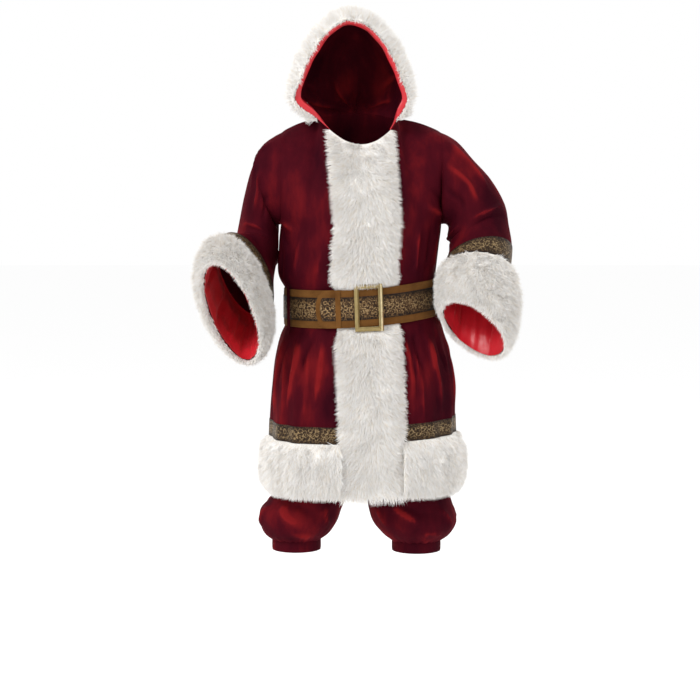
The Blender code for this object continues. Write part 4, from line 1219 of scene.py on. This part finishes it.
def make_fur_tree():
    tree = bpy.data.node_groups.new("grow_fur", "GeometryNodeTree")
    sockets = {}
    face = tree.interface
    face.new_socket("Geometry", in_out="OUTPUT", socket_type="NodeSocketGeometry")
    face.new_socket("Geometry", in_out="INPUT", socket_type="NodeSocketGeometry")
    for name, kind in (("Tufts per square metre", "NodeSocketFloat"), ("Tuft radius", "NodeSocketFloat"),
                       ("Upright", "NodeSocketFloat"), ("Tangle", "NodeSocketFloat"),
                       ("Cream share", "NodeSocketFloat"), ("Seed", "NodeSocketInt"),
                       ("White fur", "NodeSocketMaterial"), ("Cream fur", "NodeSocketMaterial")):
        sockets[name] = face.new_socket(name, in_out="INPUT", socket_type=kind).identifier
    inside = tree.nodes.new("NodeGroupInput")
    given = {socket.name: socket for socket in inside.outputs}
    scatter = tree_node(tree, "GeometryNodeDistributePointsOnFaces", {
        "Mesh": given["Geometry"], "Density": given["Tufts per square metre"], "Seed": given["Seed"]})
    comb = tree_node(tree, "GeometryNodeInputNamedAttribute", {"Name": "comb"}, data_type="FLOAT_VECTOR")
    reach = tree_node(tree, "GeometryNodeInputNamedAttribute", {"Name": "reach"}, data_type="FLOAT")
    place = tree.nodes.new("GeometryNodeInputPosition")
    swirl = tree_node(tree, "ShaderNodeTexNoise", {
        "Vector": place.outputs[0], "Scale": 42.0, "Detail": 1.0})
    centred = tree_node(tree, "ShaderNodeVectorMath", {0: swirl.outputs["Color"], 1: (0.5, 0.5, 0.5)},
                        operation="SUBTRACT")
    clumps = tree_node(tree, "ShaderNodeVectorMath", {0: centred.outputs[0]}, operation="SCALE")
    clumps.inputs["Scale"].default_value = 2.0
    # The Random Value node has inputs 0 and 1 for vectors, 2 and 3 for numbers, 6 for chance.
    loose = tree_node(tree, "FunctionNodeRandomValue", {0: (-1, -1, -1), 1: (1, 1, 1), 8: 7},
                      data_type="FLOAT_VECTOR")
    stray = tree_node(tree, "ShaderNodeVectorMath", {0: loose.outputs[0], "Scale": given["Tangle"]},
                      operation="SCALE")
    upright = tree_node(tree, "ShaderNodeVectorMath", {0: scatter.outputs["Normal"],
                                                       "Scale": given["Upright"]}, operation="SCALE")
    total = comb.outputs[0]
    for other in (clumps.outputs[0], stray.outputs[0], upright.outputs[0]):
        total = tree_node(tree, "ShaderNodeVectorMath", {0: total, 1: other}, operation="ADD").outputs[0]
    turn = tree_node(tree, "FunctionNodeAlignRotationToVector", {"Vector": total}, axis="Z")
    length = tree_node(tree, "FunctionNodeRandomValue", {2: 0.72, 3: 1.12, 8: 3}, data_type="FLOAT")
    tall = tree_node(tree, "ShaderNodeMath", {0: length.outputs[1], 1: reach.outputs[0]},
                     operation="MULTIPLY")
    scale = tree_node(tree, "ShaderNodeCombineXYZ", {"X": given["Tuft radius"], "Y": given["Tuft radius"],
                                                     "Z": tall.outputs[0]})
    tuft = tree_node(tree, "GeometryNodeMeshCone", {"Vertices": 3, "Side Segments": 1, "Radius Top": 0.0,
                                                    "Radius Bottom": 1.0, "Depth": 1.0}, fill_type="NONE")
    copies = tree_node(tree, "GeometryNodeInstanceOnPoints", {
        "Points": scatter.outputs["Points"], "Instance": tuft.outputs[0], "Rotation": turn.outputs[0],
        "Scale": scale.outputs[0]})
    chance = tree_node(tree, "FunctionNodeRandomValue", {6: given["Cream share"], 8: 11},
                       data_type="BOOLEAN")
    marked = tree_node(tree, "GeometryNodeStoreNamedAttribute", {
        "Geometry": copies.outputs[0], "Name": "cream", "Value": chance.outputs[3]},
        data_type="BOOLEAN", domain="INSTANCE")
    real = tree_node(tree, "GeometryNodeRealizeInstances", {"Geometry": marked.outputs[0]})
    white = tree_node(tree, "GeometryNodeSetMaterial", {"Geometry": real.outputs[0],
                                                        "Material": given["White fur"]})
    is_cream = tree_node(tree, "GeometryNodeInputNamedAttribute", {"Name": "cream"}, data_type="BOOLEAN")
    cream = tree_node(tree, "GeometryNodeSetMaterial", {
        "Geometry": white.outputs[0], "Selection": is_cream.outputs[0], "Material": given["Cream fur"]})
    out = tree.nodes.new("NodeGroupOutput")
    tree.links.new(cream.outputs[0], out.inputs[0])
    return tree, sockets


FUR_TREE, FUR_SOCKETS = make_fur_tree()
print("fur tree with", len(FUR_TREE.nodes), "nodes")

# %% Hair on a backing
TUFTS = 265000  # on a square metre
TUFT_RADIUS = 0.0012


def grow_hair(name, cloth, height, comb, reach, seed, cream=0.22, upright=0.55, tangle=0.42):
    """Scatters tufts over the top of a backing and returns them as one plain mesh."""
    bed = bpy.data.meshes.new(name + "_bed")
    points = cloth.out(height)
    rows, columns = points.shape[:2]
    i, j = facets(cloth)
    k = (j + 1) % columns
    low, high = i * columns, (i + 1) * columns
    faces = np.stack([low + j, low + k, high + k, high + j], axis=1)
    bed.from_pydata(points.reshape(-1, 3).tolist(), [], faces.tolist())
    field = bed.attributes.new("comb", "FLOAT_VECTOR", "POINT")
    field.data.foreach_set("vector", unit(comb).astype(np.float32).ravel())
    field = bed.attributes.new("reach", "FLOAT", "POINT")
    lengths = np.broadcast_to(reach, (rows, columns)).astype(np.float32)
    field.data.foreach_set("value", np.ascontiguousarray(lengths).ravel())
    holder = add_object(name + "_bed", bed)
    grower = holder.modifiers.new("grow", "NODES")
    grower.node_group = FUR_TREE
    density = TUFTS * 1.0
    for key, value in (("Tufts per square metre", density), ("Tuft radius", TUFT_RADIUS),
                       ("Upright", upright), ("Tangle", tangle), ("Cream share", cream), ("Seed", seed),
                       ("White fur", FUR_WHITE), ("Cream fur", FUR_CREAM)):
        grower[FUR_SOCKETS[key]] = value
    graph = bpy.context.evaluated_depsgraph_get()
    mesh = bpy.data.meshes.new_from_object(holder.evaluated_get(graph))
    mesh.name = name
    bpy.data.objects.remove(holder, do_unlink=True)
    hair = add_object(name, mesh)
    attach(hair, "root")
    print(f"{name}: {len(mesh.polygons)} faces of hair")
    return hair


def dome(share):
    """The height of a band's pile across it, as a share: low at both edges, full between."""
    return np.clip(1 - np.abs(2 * share - 1) ** 3.2, 0.0, 1.0)


# %% [markdown]
# ## The four fur bands of the coat
# The pile of the front band parts down its middle and sweeps outwards and down. Round the hem it
# hangs, round the cuffs it points to the mouth, and round the face it sweeps outwards. Under the
# belt it is pressed flat, which is where the belt sits on the coat.

# %% Front fur
def front_cloth():
    right, left = COAT["coat_front_right"], COAT["coat_front_left"]
    start, end = right.columns[FRONT_COLUMNS - FUR_COLUMN], left.columns[FUR_COLUMN]
    points = np.concatenate([right.points[:, start:], left.points[:, 1:end + 1]], axis=1)
    return Cloth(points, rows=right.rows)


BELT_SHADOW = 0.034  # how far from the belt the pile stands up again


def pressed(cloth):
    """1 where the pile stands free, and 0 where the belt presses it."""
    z = cloth.points[..., 2]
    x = cloth.points[..., 0]
    tilt = COAT_RINGS[ring_row("belt_foot")].tilt * (x + TILT_BOW * x * x)
    low = COAT_RINGS[ring_row("belt_foot")].z + tilt
    high = COAT_RINGS[ring_row("belt_head")].z + tilt
    middle, half = (low + high) / 2, (high - low) / 2
    return ease((np.abs(z - middle) - half + 0.004) / BELT_SHADOW)


LIP_HEIGHTS = (-0.0015, 0.0015, 0.0045)


def add_lip(name, cloth, row, reach, inward, seed):
    """Hair on the very edge of a band, which rolls over it and hides the cut."""
    up = unit(cloth.up())
    ahead = -up[row] if row == 0 else up[row]
    heights = LIP_HEIGHTS if row == 0 else LIP_HEIGHTS[::-1]
    points = [cloth.points[row] + cloth.normals[row] * height for height in heights]
    lip = Cloth(np.array(points), ring=cloth.ring)
    comb = np.array([ahead - cloth.normals[row] * inward] * len(heights))
    return grow_hair(name, lip, 0.0, comb, reach, seed, upright=0.4)


def add_band(name, cloth, free, comb, seed, swell=0.40, length=0.026, sides=None, lips=(), **growth):
    """A fur band: its backing with the undercoat, and its hair. Free is 0 where it is pressed."""
    rows, columns = cloth.points.shape[:2]
    across = dome(np.linspace(0, 1, columns))[None, :] if sides == "columns" else 1.0
    along = dome(np.linspace(0, 1, rows))[:, None]
    profile = across * along * np.ones((rows, columns))
    low = CLOTH / 2 + GAP
    height = low + 0.0015 + profile * swell * FUR_REACH * free
    backing = add_shell(name, cloth, low, height, UNDERCOAT)
    reach = length * (0.24 + 0.76 * free) * (0.78 + 0.22 * profile)
    hair = grow_hair(name + "_hair", cloth, height - 0.001, comb, reach, seed, **growth)
    sew(backing, cloth, name)


band = front_cloth()
sideways = np.linspace(-1, 1, band.points.shape[1])[None, :, None]
comb = unit(band.across()) * sideways * 0.9 - unit(band.up()) * 0.8
lip = add_lip("front_fur_lip", band, 0, 0.030, -0.1, 71)
add_band("front_fur", band, pressed(band), comb, 21, sides="columns", lips=[lip], upright=0.50)

# %% Hem fur
side_left = COAT["coat_front_left"].points.shape[1] - COAT["coat_front_left"].columns[FUR_COLUMN] - 1
side_right = side_left + COAT["coat_back"].points.shape[1] - 1
for number, (word, start, end) in enumerate((("left", 0, side_left), ("back", side_left, side_right),
                                             ("right", side_right, SKIRT.points.shape[1] - 1))):
    cloth = SKIRT.part(slice(0, SKIRT.rows[ring_row("brocade_foot")] + 1), slice(start, end + 1))
    lip = add_lip(f"hem_fur_{word}_lip", cloth, 0, 0.021, -0.3, 72 + number)
    down = -unit(cloth.up())
    add_band("hem_fur_" + word, cloth, 1.0, down, 31 + number, swell=0.55, length=0.025, lips=[lip])

# %% Cuff fur
for number, (word, (cloth, cuffs)) in enumerate(SLEEVES.items()):
    ring = cloth.part(slice(cloth.rows[cuff_row(cuffs, "fur_head")], None))
    turn = 2 * math.pi * np.arange(ring.points.shape[1]) / ring.points.shape[1]
    body_side = (0.80 + 0.20 * np.cos(turn))[None, :] * np.ones(ring.points.shape[:2])
    lip = add_lip(f"cuff_fur_{word}_lip", ring, -1, 0.013, 0.1, 61 + number)
    add_band("cuff_fur_" + word, ring, body_side, unit(ring.up()), 41 + number, swell=0.52, length=0.025,
             lips=[lip], upright=0.7, tangle=0.55)

# %% Hood fur
BARE_END = 22  # one part in this many is left bare at each end, where the neck seam is
first = HOOD.points.shape[1] // BARE_END
cloth = HOOD.part(slice(0, HOOD.rows[1] + 1), slice(first, -first))
lip = add_lip("hood_fur_lip", cloth, 0, 0.018, 0.05, 63)
add_band("hood_fur", cloth, 1.0, unit(cloth.up()), 51, swell=0.50, length=0.025, lips=[lip], upright=1.10)

# %% [markdown]
# ## The belt
# The belt is stiff, so it goes straight from its lower edge to its upper one while the cloth
# below it gives way. Its outer face is rounded at both edges, and a shallow groove marks each
# row of stitches. The ribbon, the free end and the keeper are laid on it one over the other.

# %% Belt strap and ribbon
def belt_cloth(steps):
    """A ring from the coat's points under the belt's two edges, straight from one to the other."""
    left, back, right = COAT["coat_front_left"], COAT["coat_back"], COAT["coat_front_right"]
    rows = [left.rows[ring_row("belt_foot")], left.rows[ring_row("belt_head")]]
    ends = [left.points[rows], back.points[rows][:, 1:], right.points[rows][:, 1:-1]]
    ends = np.concatenate(ends, axis=1)
    share = np.asarray(steps)[:, None, None]
    cloth = Cloth(ends[0] * (1 - share) + ends[1] * share, ring=True)
    marks = [*left.columns[:-1]]
    marks += [left.columns[-1] + column for column in back.columns[:-1]]
    marks += [left.columns[-1] + back.columns[-1] + column for column in right.columns]
    return cloth, marks


EDGE_STEPS = (0.0, 0.006, 0.016, 0.032, 0.046, 0.054, 0.062, 0.075)
BELT_STEPS = (*EDGE_STEPS, *np.linspace(0.10, 0.90, 18), *(1 - step for step in reversed(EDGE_STEPS)))
BELT, BELT_MARKS = belt_cloth(BELT_STEPS)
BESIDE_FUR = 0.0042  # the strap's height over the coat one column beside the fur


def belt_lift():
    """The strap stands off the coat over the front fur, and lies close everywhere else."""
    over_fur = CLOTH / 2 + BELT_SQUEEZE
    close = CLOTH / 2 + GAP
    coarse = np.interp(np.arange(BELT.points.shape[1]), BELT_MARKS, np.arange(len(BELT_MARKS)))
    from_front = np.minimum(coarse, len(BELT_MARKS) - 1 - coarse)
    stops = [over_fur, over_fur, BESIDE_FUR, close]
    return np.interp(from_front, [0, FUR_COLUMN, FUR_COLUMN + 1, FUR_COLUMN + 2], stops)[None, :]


def strap_face(steps):
    """How far the strap's outer face drops: round edges and two stitch grooves."""
    depth = np.minimum(np.asarray(steps), 1 - np.asarray(steps)) * BELT_WIDE
    rounding = 0.0014 * (1 - ease(depth / 0.0030))
    groove = 0.0006 * np.exp(-(((depth - 0.0056) / 0.0011) ** 2))
    return (rounding + groove)[:, None]


LIFT = belt_lift()
strap = add_shell("belt_strap", BELT, LIFT, LIFT + STRAP - strap_face(BELT_STEPS), SUEDE)
sew(strap, BELT, "belt_strap")
under_ribbon = [k for k, step in enumerate(BELT_STEPS) if 0.19 < step < 0.81]
RIBBON_ROWS = slice(under_ribbon[0], under_ribbon[-1] + 1)
ribbon = BELT.part(RIBBON_ROWS)
on_strap = LIFT + STRAP + GAP
piece = add_shell("belt_ribbon", ribbon, on_strap, on_strap + TRIM, RIBBON)
sew(piece, ribbon, "belt_ribbon")

# %% Free end, its ribbon and the keeper
def front_strip(start, end, rows=slice(None), tip=0.0, count=64):
    """A stretch of the belt's front between two distances from its centre. Its tip is rounded."""
    half = BELT.points.shape[1] // 5
    order = [(k + BELT.points.shape[1]) % BELT.points.shape[1] for k in range(-half, half + 1)]
    points, normals = BELT.points[rows][:, order], BELT.normals[rows][:, order]
    middle = points.shape[0] // 2
    along = np.concatenate([[0], np.cumsum(np.linalg.norm(np.diff(points[middle], axis=0), axis=1))])
    along -= along[half]
    places = start + (end - start) * np.linspace(0, 1, count) ** (1.5 if tip else 1.0)
    grid, facing = (np.stack([[np.interp(places, along, row[:, k]) for row in values] for k in range(3)],
                             axis=-1) for values in (points, normals))
    if tip:
        centre = grid.mean(axis=0)
        share = np.clip((places - start) / tip, 0, 1)
        narrow = np.sqrt(np.clip(1 - (1 - share) ** 2.6, 0.0, 1)) * 0.97 + 0.03
        grid = centre + (grid - centre) * narrow[None, :, None]
    strip = Cloth(grid)
    strip.normals = unit(facing)
    return strip


top = float(on_strap[0, 0]) + TRIM
low = top + GAP
tongue = front_strip(*TONGUE, tip=0.030)
piece = add_shell("belt_tongue", tongue, low, low + STRAP - strap_face(BELT_STEPS), SUEDE)
sew(piece, tongue, "belt_tongue")
on_tongue = low + STRAP + GAP
tongue_ribbon = front_strip(TONGUE[0] + 0.012, TONGUE[1], RIBBON_ROWS, tip=0.010)
piece = add_shell("belt_tongue_ribbon", tongue_ribbon, on_tongue, on_tongue + TRIM, RIBBON)
sew(piece, tongue_ribbon, "belt_tongue_ribbon")
keeper = front_strip(*KEEPER, count=9)
on_ribbon = on_tongue + TRIM + GAP
crown = 0.0024 * (0.55 + 0.45 * np.sin(np.linspace(0.12, 0.88, 9) * math.pi))[None, :]
piece = add_shell("belt_keeper", keeper, on_ribbon, on_ribbon + crown, SUEDE)
sew(piece, keeper, "belt_keeper")

# %% Carriers near the side seams
def make_carrier(word, panel, column):
    """A narrow velvet loop, sewn down above and below the belt and standing over it."""
    cloth = COAT[panel]
    column = cloth.columns[column]
    names = ("under_belt", "belt_foot", "belt_head", "over_belt")
    rows = [cloth.rows[ring_row(name)] for name in names]
    points, normals = cloth.points[rows, column].copy(), cloth.normals[rows, column]
    points[1] += (points[0] - points[1]) * 0.25
    points[2] += (points[3] - points[2]) * 0.25
    sewn = CLOTH / 2 + GAP
    clear = float(LIFT.min()) + STRAP + 2 * GAP + TRIM
    points += normals * np.array([sewn, clear, clear, sewn])[:, None] + normals * 0.0006
    along = unit(cloth.points[rows, column + 1] - cloth.points[rows, column - 1])
    places = np.linspace(0, 3, 40)
    line, side = (np.stack([np.interp(places, np.arange(4), values[:, k]) for k in range(3)], axis=-1)
                  for values in (points, along))
    width = np.linspace(-0.5, 0.5, 7) * LOOP_WIDTH
    strip = Cloth(line[:, None] + side[:, None] * width[None, :, None])
    piece = add_shell("belt_loop_" + word, strip, 0.0, LOOP_CLOTH, VELVET)
    sew(piece, strip, "belt_loop_" + word)


make_carrier("left", "coat_front_left", CARRIER_COLUMN)
make_carrier("right", "coat_front_right", FRONT_COLUMNS - CARRIER_COLUMN)

# %% [markdown]
# ## The buckle
# The buckle and its rod are hard, and the CAD gives their true shape: four mitred, ridged bars
# and a round rod. They keep their meshes, and only take the brass.

# %% Brass on the CAD pieces
for name, finish in (("belt_buckle", ANTIQUE_BRASS), ("buckle_rod", BRIGHT_BRASS)):
    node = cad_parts[name]
    node.data.materials.clear()
    node.data.materials.append(finish)
    print(name, "takes", finish.name)

# %% [markdown]
# ## The trousers
# Each leg is one piece: half of the seat above, and a full tube below the crotch. The tube
# balloons over the knee and is gathered into a plain band, so many small pleats of uneven length
# run up from the band, and a few large soft folds cross the balloon.

# %% Trouser legs
LEG_RADIUS = 0.108
LEG_CREASES_RIGHT = (  # the turn is 90 at the leg's front and 180 at its outer side
    Crease(128, -1.050, 85, -1.110, 0.012, 0.0075),
    Crease(112, -1.045, 70, -1.085, 0.010, -0.0050),
    Crease(60, -1.050, 40, -1.120, 0.012, 0.0065),
    Crease(150, -1.060, 165, -1.130, 0.012, 0.0065),
    Crease(100, -1.130, 60, -1.138, 0.009, 0.0050),
    Crease(200, -1.040, 225, -1.115, 0.012, 0.0070),
    Crease(265, -1.050, 240, -1.125, 0.012, 0.0070),
    Crease(300, -1.040, 320, -1.110, 0.011, 0.0060),
)
LEG_CREASES_LEFT = (
    Crease(60, -1.050, 100, -1.112, 0.012, 0.0075),
    Crease(75, -1.045, 118, -1.085, 0.010, -0.0050),
    Crease(130, -1.060, 150, -1.130, 0.012, 0.0065),
    Crease(35, -1.060, 50, -1.125, 0.011, 0.0060),
    Crease(95, -1.130, 135, -1.140, 0.009, 0.0050),
    Crease(205, -1.050, 190, -1.120, 0.012, 0.0070),
    Crease(250, -1.040, 275, -1.115, 0.012, 0.0070),
    Crease(310, -1.050, 295, -1.115, 0.011, 0.0060),
)
PLEATS = 34  # round one knee band
CROTCH = -0.80


def pleat_heights(turn, up, foot, seed):
    """The gathers above a knee band, uneven in place, width, depth and length."""
    pick = np.random.default_rng(seed)
    total = np.zeros_like(turn)
    for number in range(PLEATS):
        centre = (number + pick.uniform(0.2, 0.8)) * 360 / PLEATS
        width = pick.uniform(2.4, 4.2)
        tall = pick.uniform(0.022, 0.060)
        depth = pick.uniform(0.0020, 0.0042)
        away = (turn - centre + 180) % 360 - 180
        total += depth * np.exp(-((away / width) ** 2)) * (1 - ease((up - foot - 0.004) / tall))
    return total


def make_leg(word, side, legs, creases, seed):
    grid = leg_grid(side, legs)
    down = grid if side < 0 else grid[::-1]
    seats = len(TROUSER_SEATS)
    mirror = np.array([-1, 1, 1])
    first, last = down[:, LEG_COLUMNS - 1].copy(), down[:, 1].copy()
    first[:seats] = down[:seats, 1] * mirror
    last[:seats] = down[:seats, LEG_COLUMNS - 1] * mirror
    if side > 0:
        first, last = first[::-1], last[::-1]
    cloth = fine_cloth(grid, size=LEG_FINE, left=first, right=last)
    turn = np.broadcast_to(column_turns(cloth, LEG_COLUMNS), cloth.points.shape[:2])
    up = cloth.points[..., 2]
    foot = legs[-1].z
    heights = crease_heights(turn, up, creases, LEG_RADIUS) + pleat_heights(turn, up, foot, seed)
    seam = np.minimum(turn, 360 - turn) * LEG_RADIUS * math.pi / 180
    inseam = SEAM_DIP * np.exp(-((seam / SEAM_WIDTH) ** 2)) * (up < CROTCH)
    heights = heights * ease(seam / 0.02) - inseam
    cloth = cloth.raised(heights)
    piece = add_shell("trouser_leg_" + word, cloth, -CLOTH / 2, CLOTH / 2, VELVET)
    sew(piece, cloth, "trouser_leg_" + word)


make_leg("right", -1, LEG_RIGHT, LEG_CREASES_RIGHT, 5)
make_leg("left", 1, LEG_LEFT, LEG_CREASES_LEFT, 6)

# %% Knee bands and waistband


HOOP_COLUMNS = 24


def hoop(z_low, z_high, middle, half, front, back):
    rows = []
    for z in (z_low, z_high):
        row = []
        for column in range(HOOP_COLUMNS):
            angle = 2 * math.pi * column / HOOP_COLUMNS
            depth = front if math.cos(angle) > 0 else back
            row.append((middle + half * math.sin(angle), -depth * math.cos(angle), z))
        rows.append(row)
    return np.array(rows)


def add_hoop(name, grid):
    cloth = fine_cloth(grid, ring=True, size=HOOP_FINE)
    edge = np.abs(np.linspace(-1, 1, cloth.points.shape[0]))[:, None]
    piece = add_shell(name, cloth, -CLOTH / 2, CLOTH / 2 - 0.0008 * edge**4, VELVET)
    sew(piece, cloth, name)


for word, legs in (("right", LEG_RIGHT), ("left", LEG_LEFT)):
    end = legs[-1]
    upper = end.z - CLOTH - GAP
    band = hoop(upper - BAND_DEPTH, upper, end.middle, end.half, end.front, end.back)
    add_hoop("knee_band_" + word, band)
seat = TROUSER_SEATS[0]
lower = seat.z + CLOTH + GAP
add_hoop("trouser_waistband", hoop(lower, lower + WAISTBAND_DEPTH, 0, seat.half, seat.front, seat.back))

# %% [markdown]
# ## Floor, light and camera
# The suit is held up by its wearer, who isn't here, so it stands clear of the floor at its own
# height. The floor is pale and wide, and the sky is as white as it. A soft lamp from the upper
# left models the folds, and two weaker ones fill the shadows.

# %% Floor
FLOOR = -1.548
FLOOR_HALF = 30


def make_floor():
    corners = ((-1, -1), (1, -1), (1, 1), (-1, 1))
    points = [(x * FLOOR_HALF, y * FLOOR_HALF, FLOOR) for x, y in corners]
    mesh = bpy.data.meshes.new("floor")
    mesh.from_pydata(points, [], [(0, 1, 2, 3)])
    paper = bpy.data.materials.new("paper")
    paper.use_nodes = True
    shader = paper.node_tree.nodes["Principled BSDF"]
    shader.inputs["Base Color"].default_value = (0.98, 0.98, 0.98, 1)
    shader.inputs["Roughness"].default_value = 0.9
    shader.inputs["Specular IOR Level"].default_value = 0.0
    mesh.materials.append(paper)
    add_object("floor", mesh)


make_floor()

# %% Lamps and sky


LAMP_AIM = (0, 0, -0.5)


def aim(thing, target):
    thing.rotation_euler = (Vector(target) - thing.location).to_track_quat("-Z", "Y").to_euler()


def add_lamp(name, place, size, power_w):
    lamp = bpy.data.lights.new(name, "AREA")
    lamp.size = size
    lamp.energy = power_w
    holder = add_object(name, lamp)
    holder.location = place
    aim(holder, LAMP_AIM)


add_lamp("key", (-2.8, -3.0, 2.4), 1.5, 112)
add_lamp("fill", (3.2, -3.0, 0.6), 3.0, 15)
add_lamp("back_light", (0.6, 2.6, 2.6), 2.0, 40)
sky = bpy.data.worlds.new("studio")
sky.use_nodes = True
sky.node_tree.nodes["Background"].inputs["Color"].default_value = (1, 1, 1, 1)
sky.node_tree.nodes["Background"].inputs["Strength"].default_value = 1.0
bpy.context.scene.world = sky
# The Standard transform keeps the wine red deep and the fur white.
bpy.context.scene.view_settings.view_transform = "Standard"

# %% Camera
CAMERA_PLACE = (-0.031, -5.0, -0.2)
CAMERA_AIM = (-0.031, 0.0, -0.63)
VIEW_HEIGHT = 1.96
camera = bpy.data.cameras.new("camera")
distance = math.dist(CAMERA_PLACE, CAMERA_AIM)
camera.angle = 2 * math.atan(VIEW_HEIGHT / 2 / distance)
viewer = add_object("camera", camera)
viewer.location = CAMERA_PLACE
aim(viewer, CAMERA_AIM)
bpy.context.scene.camera = viewer
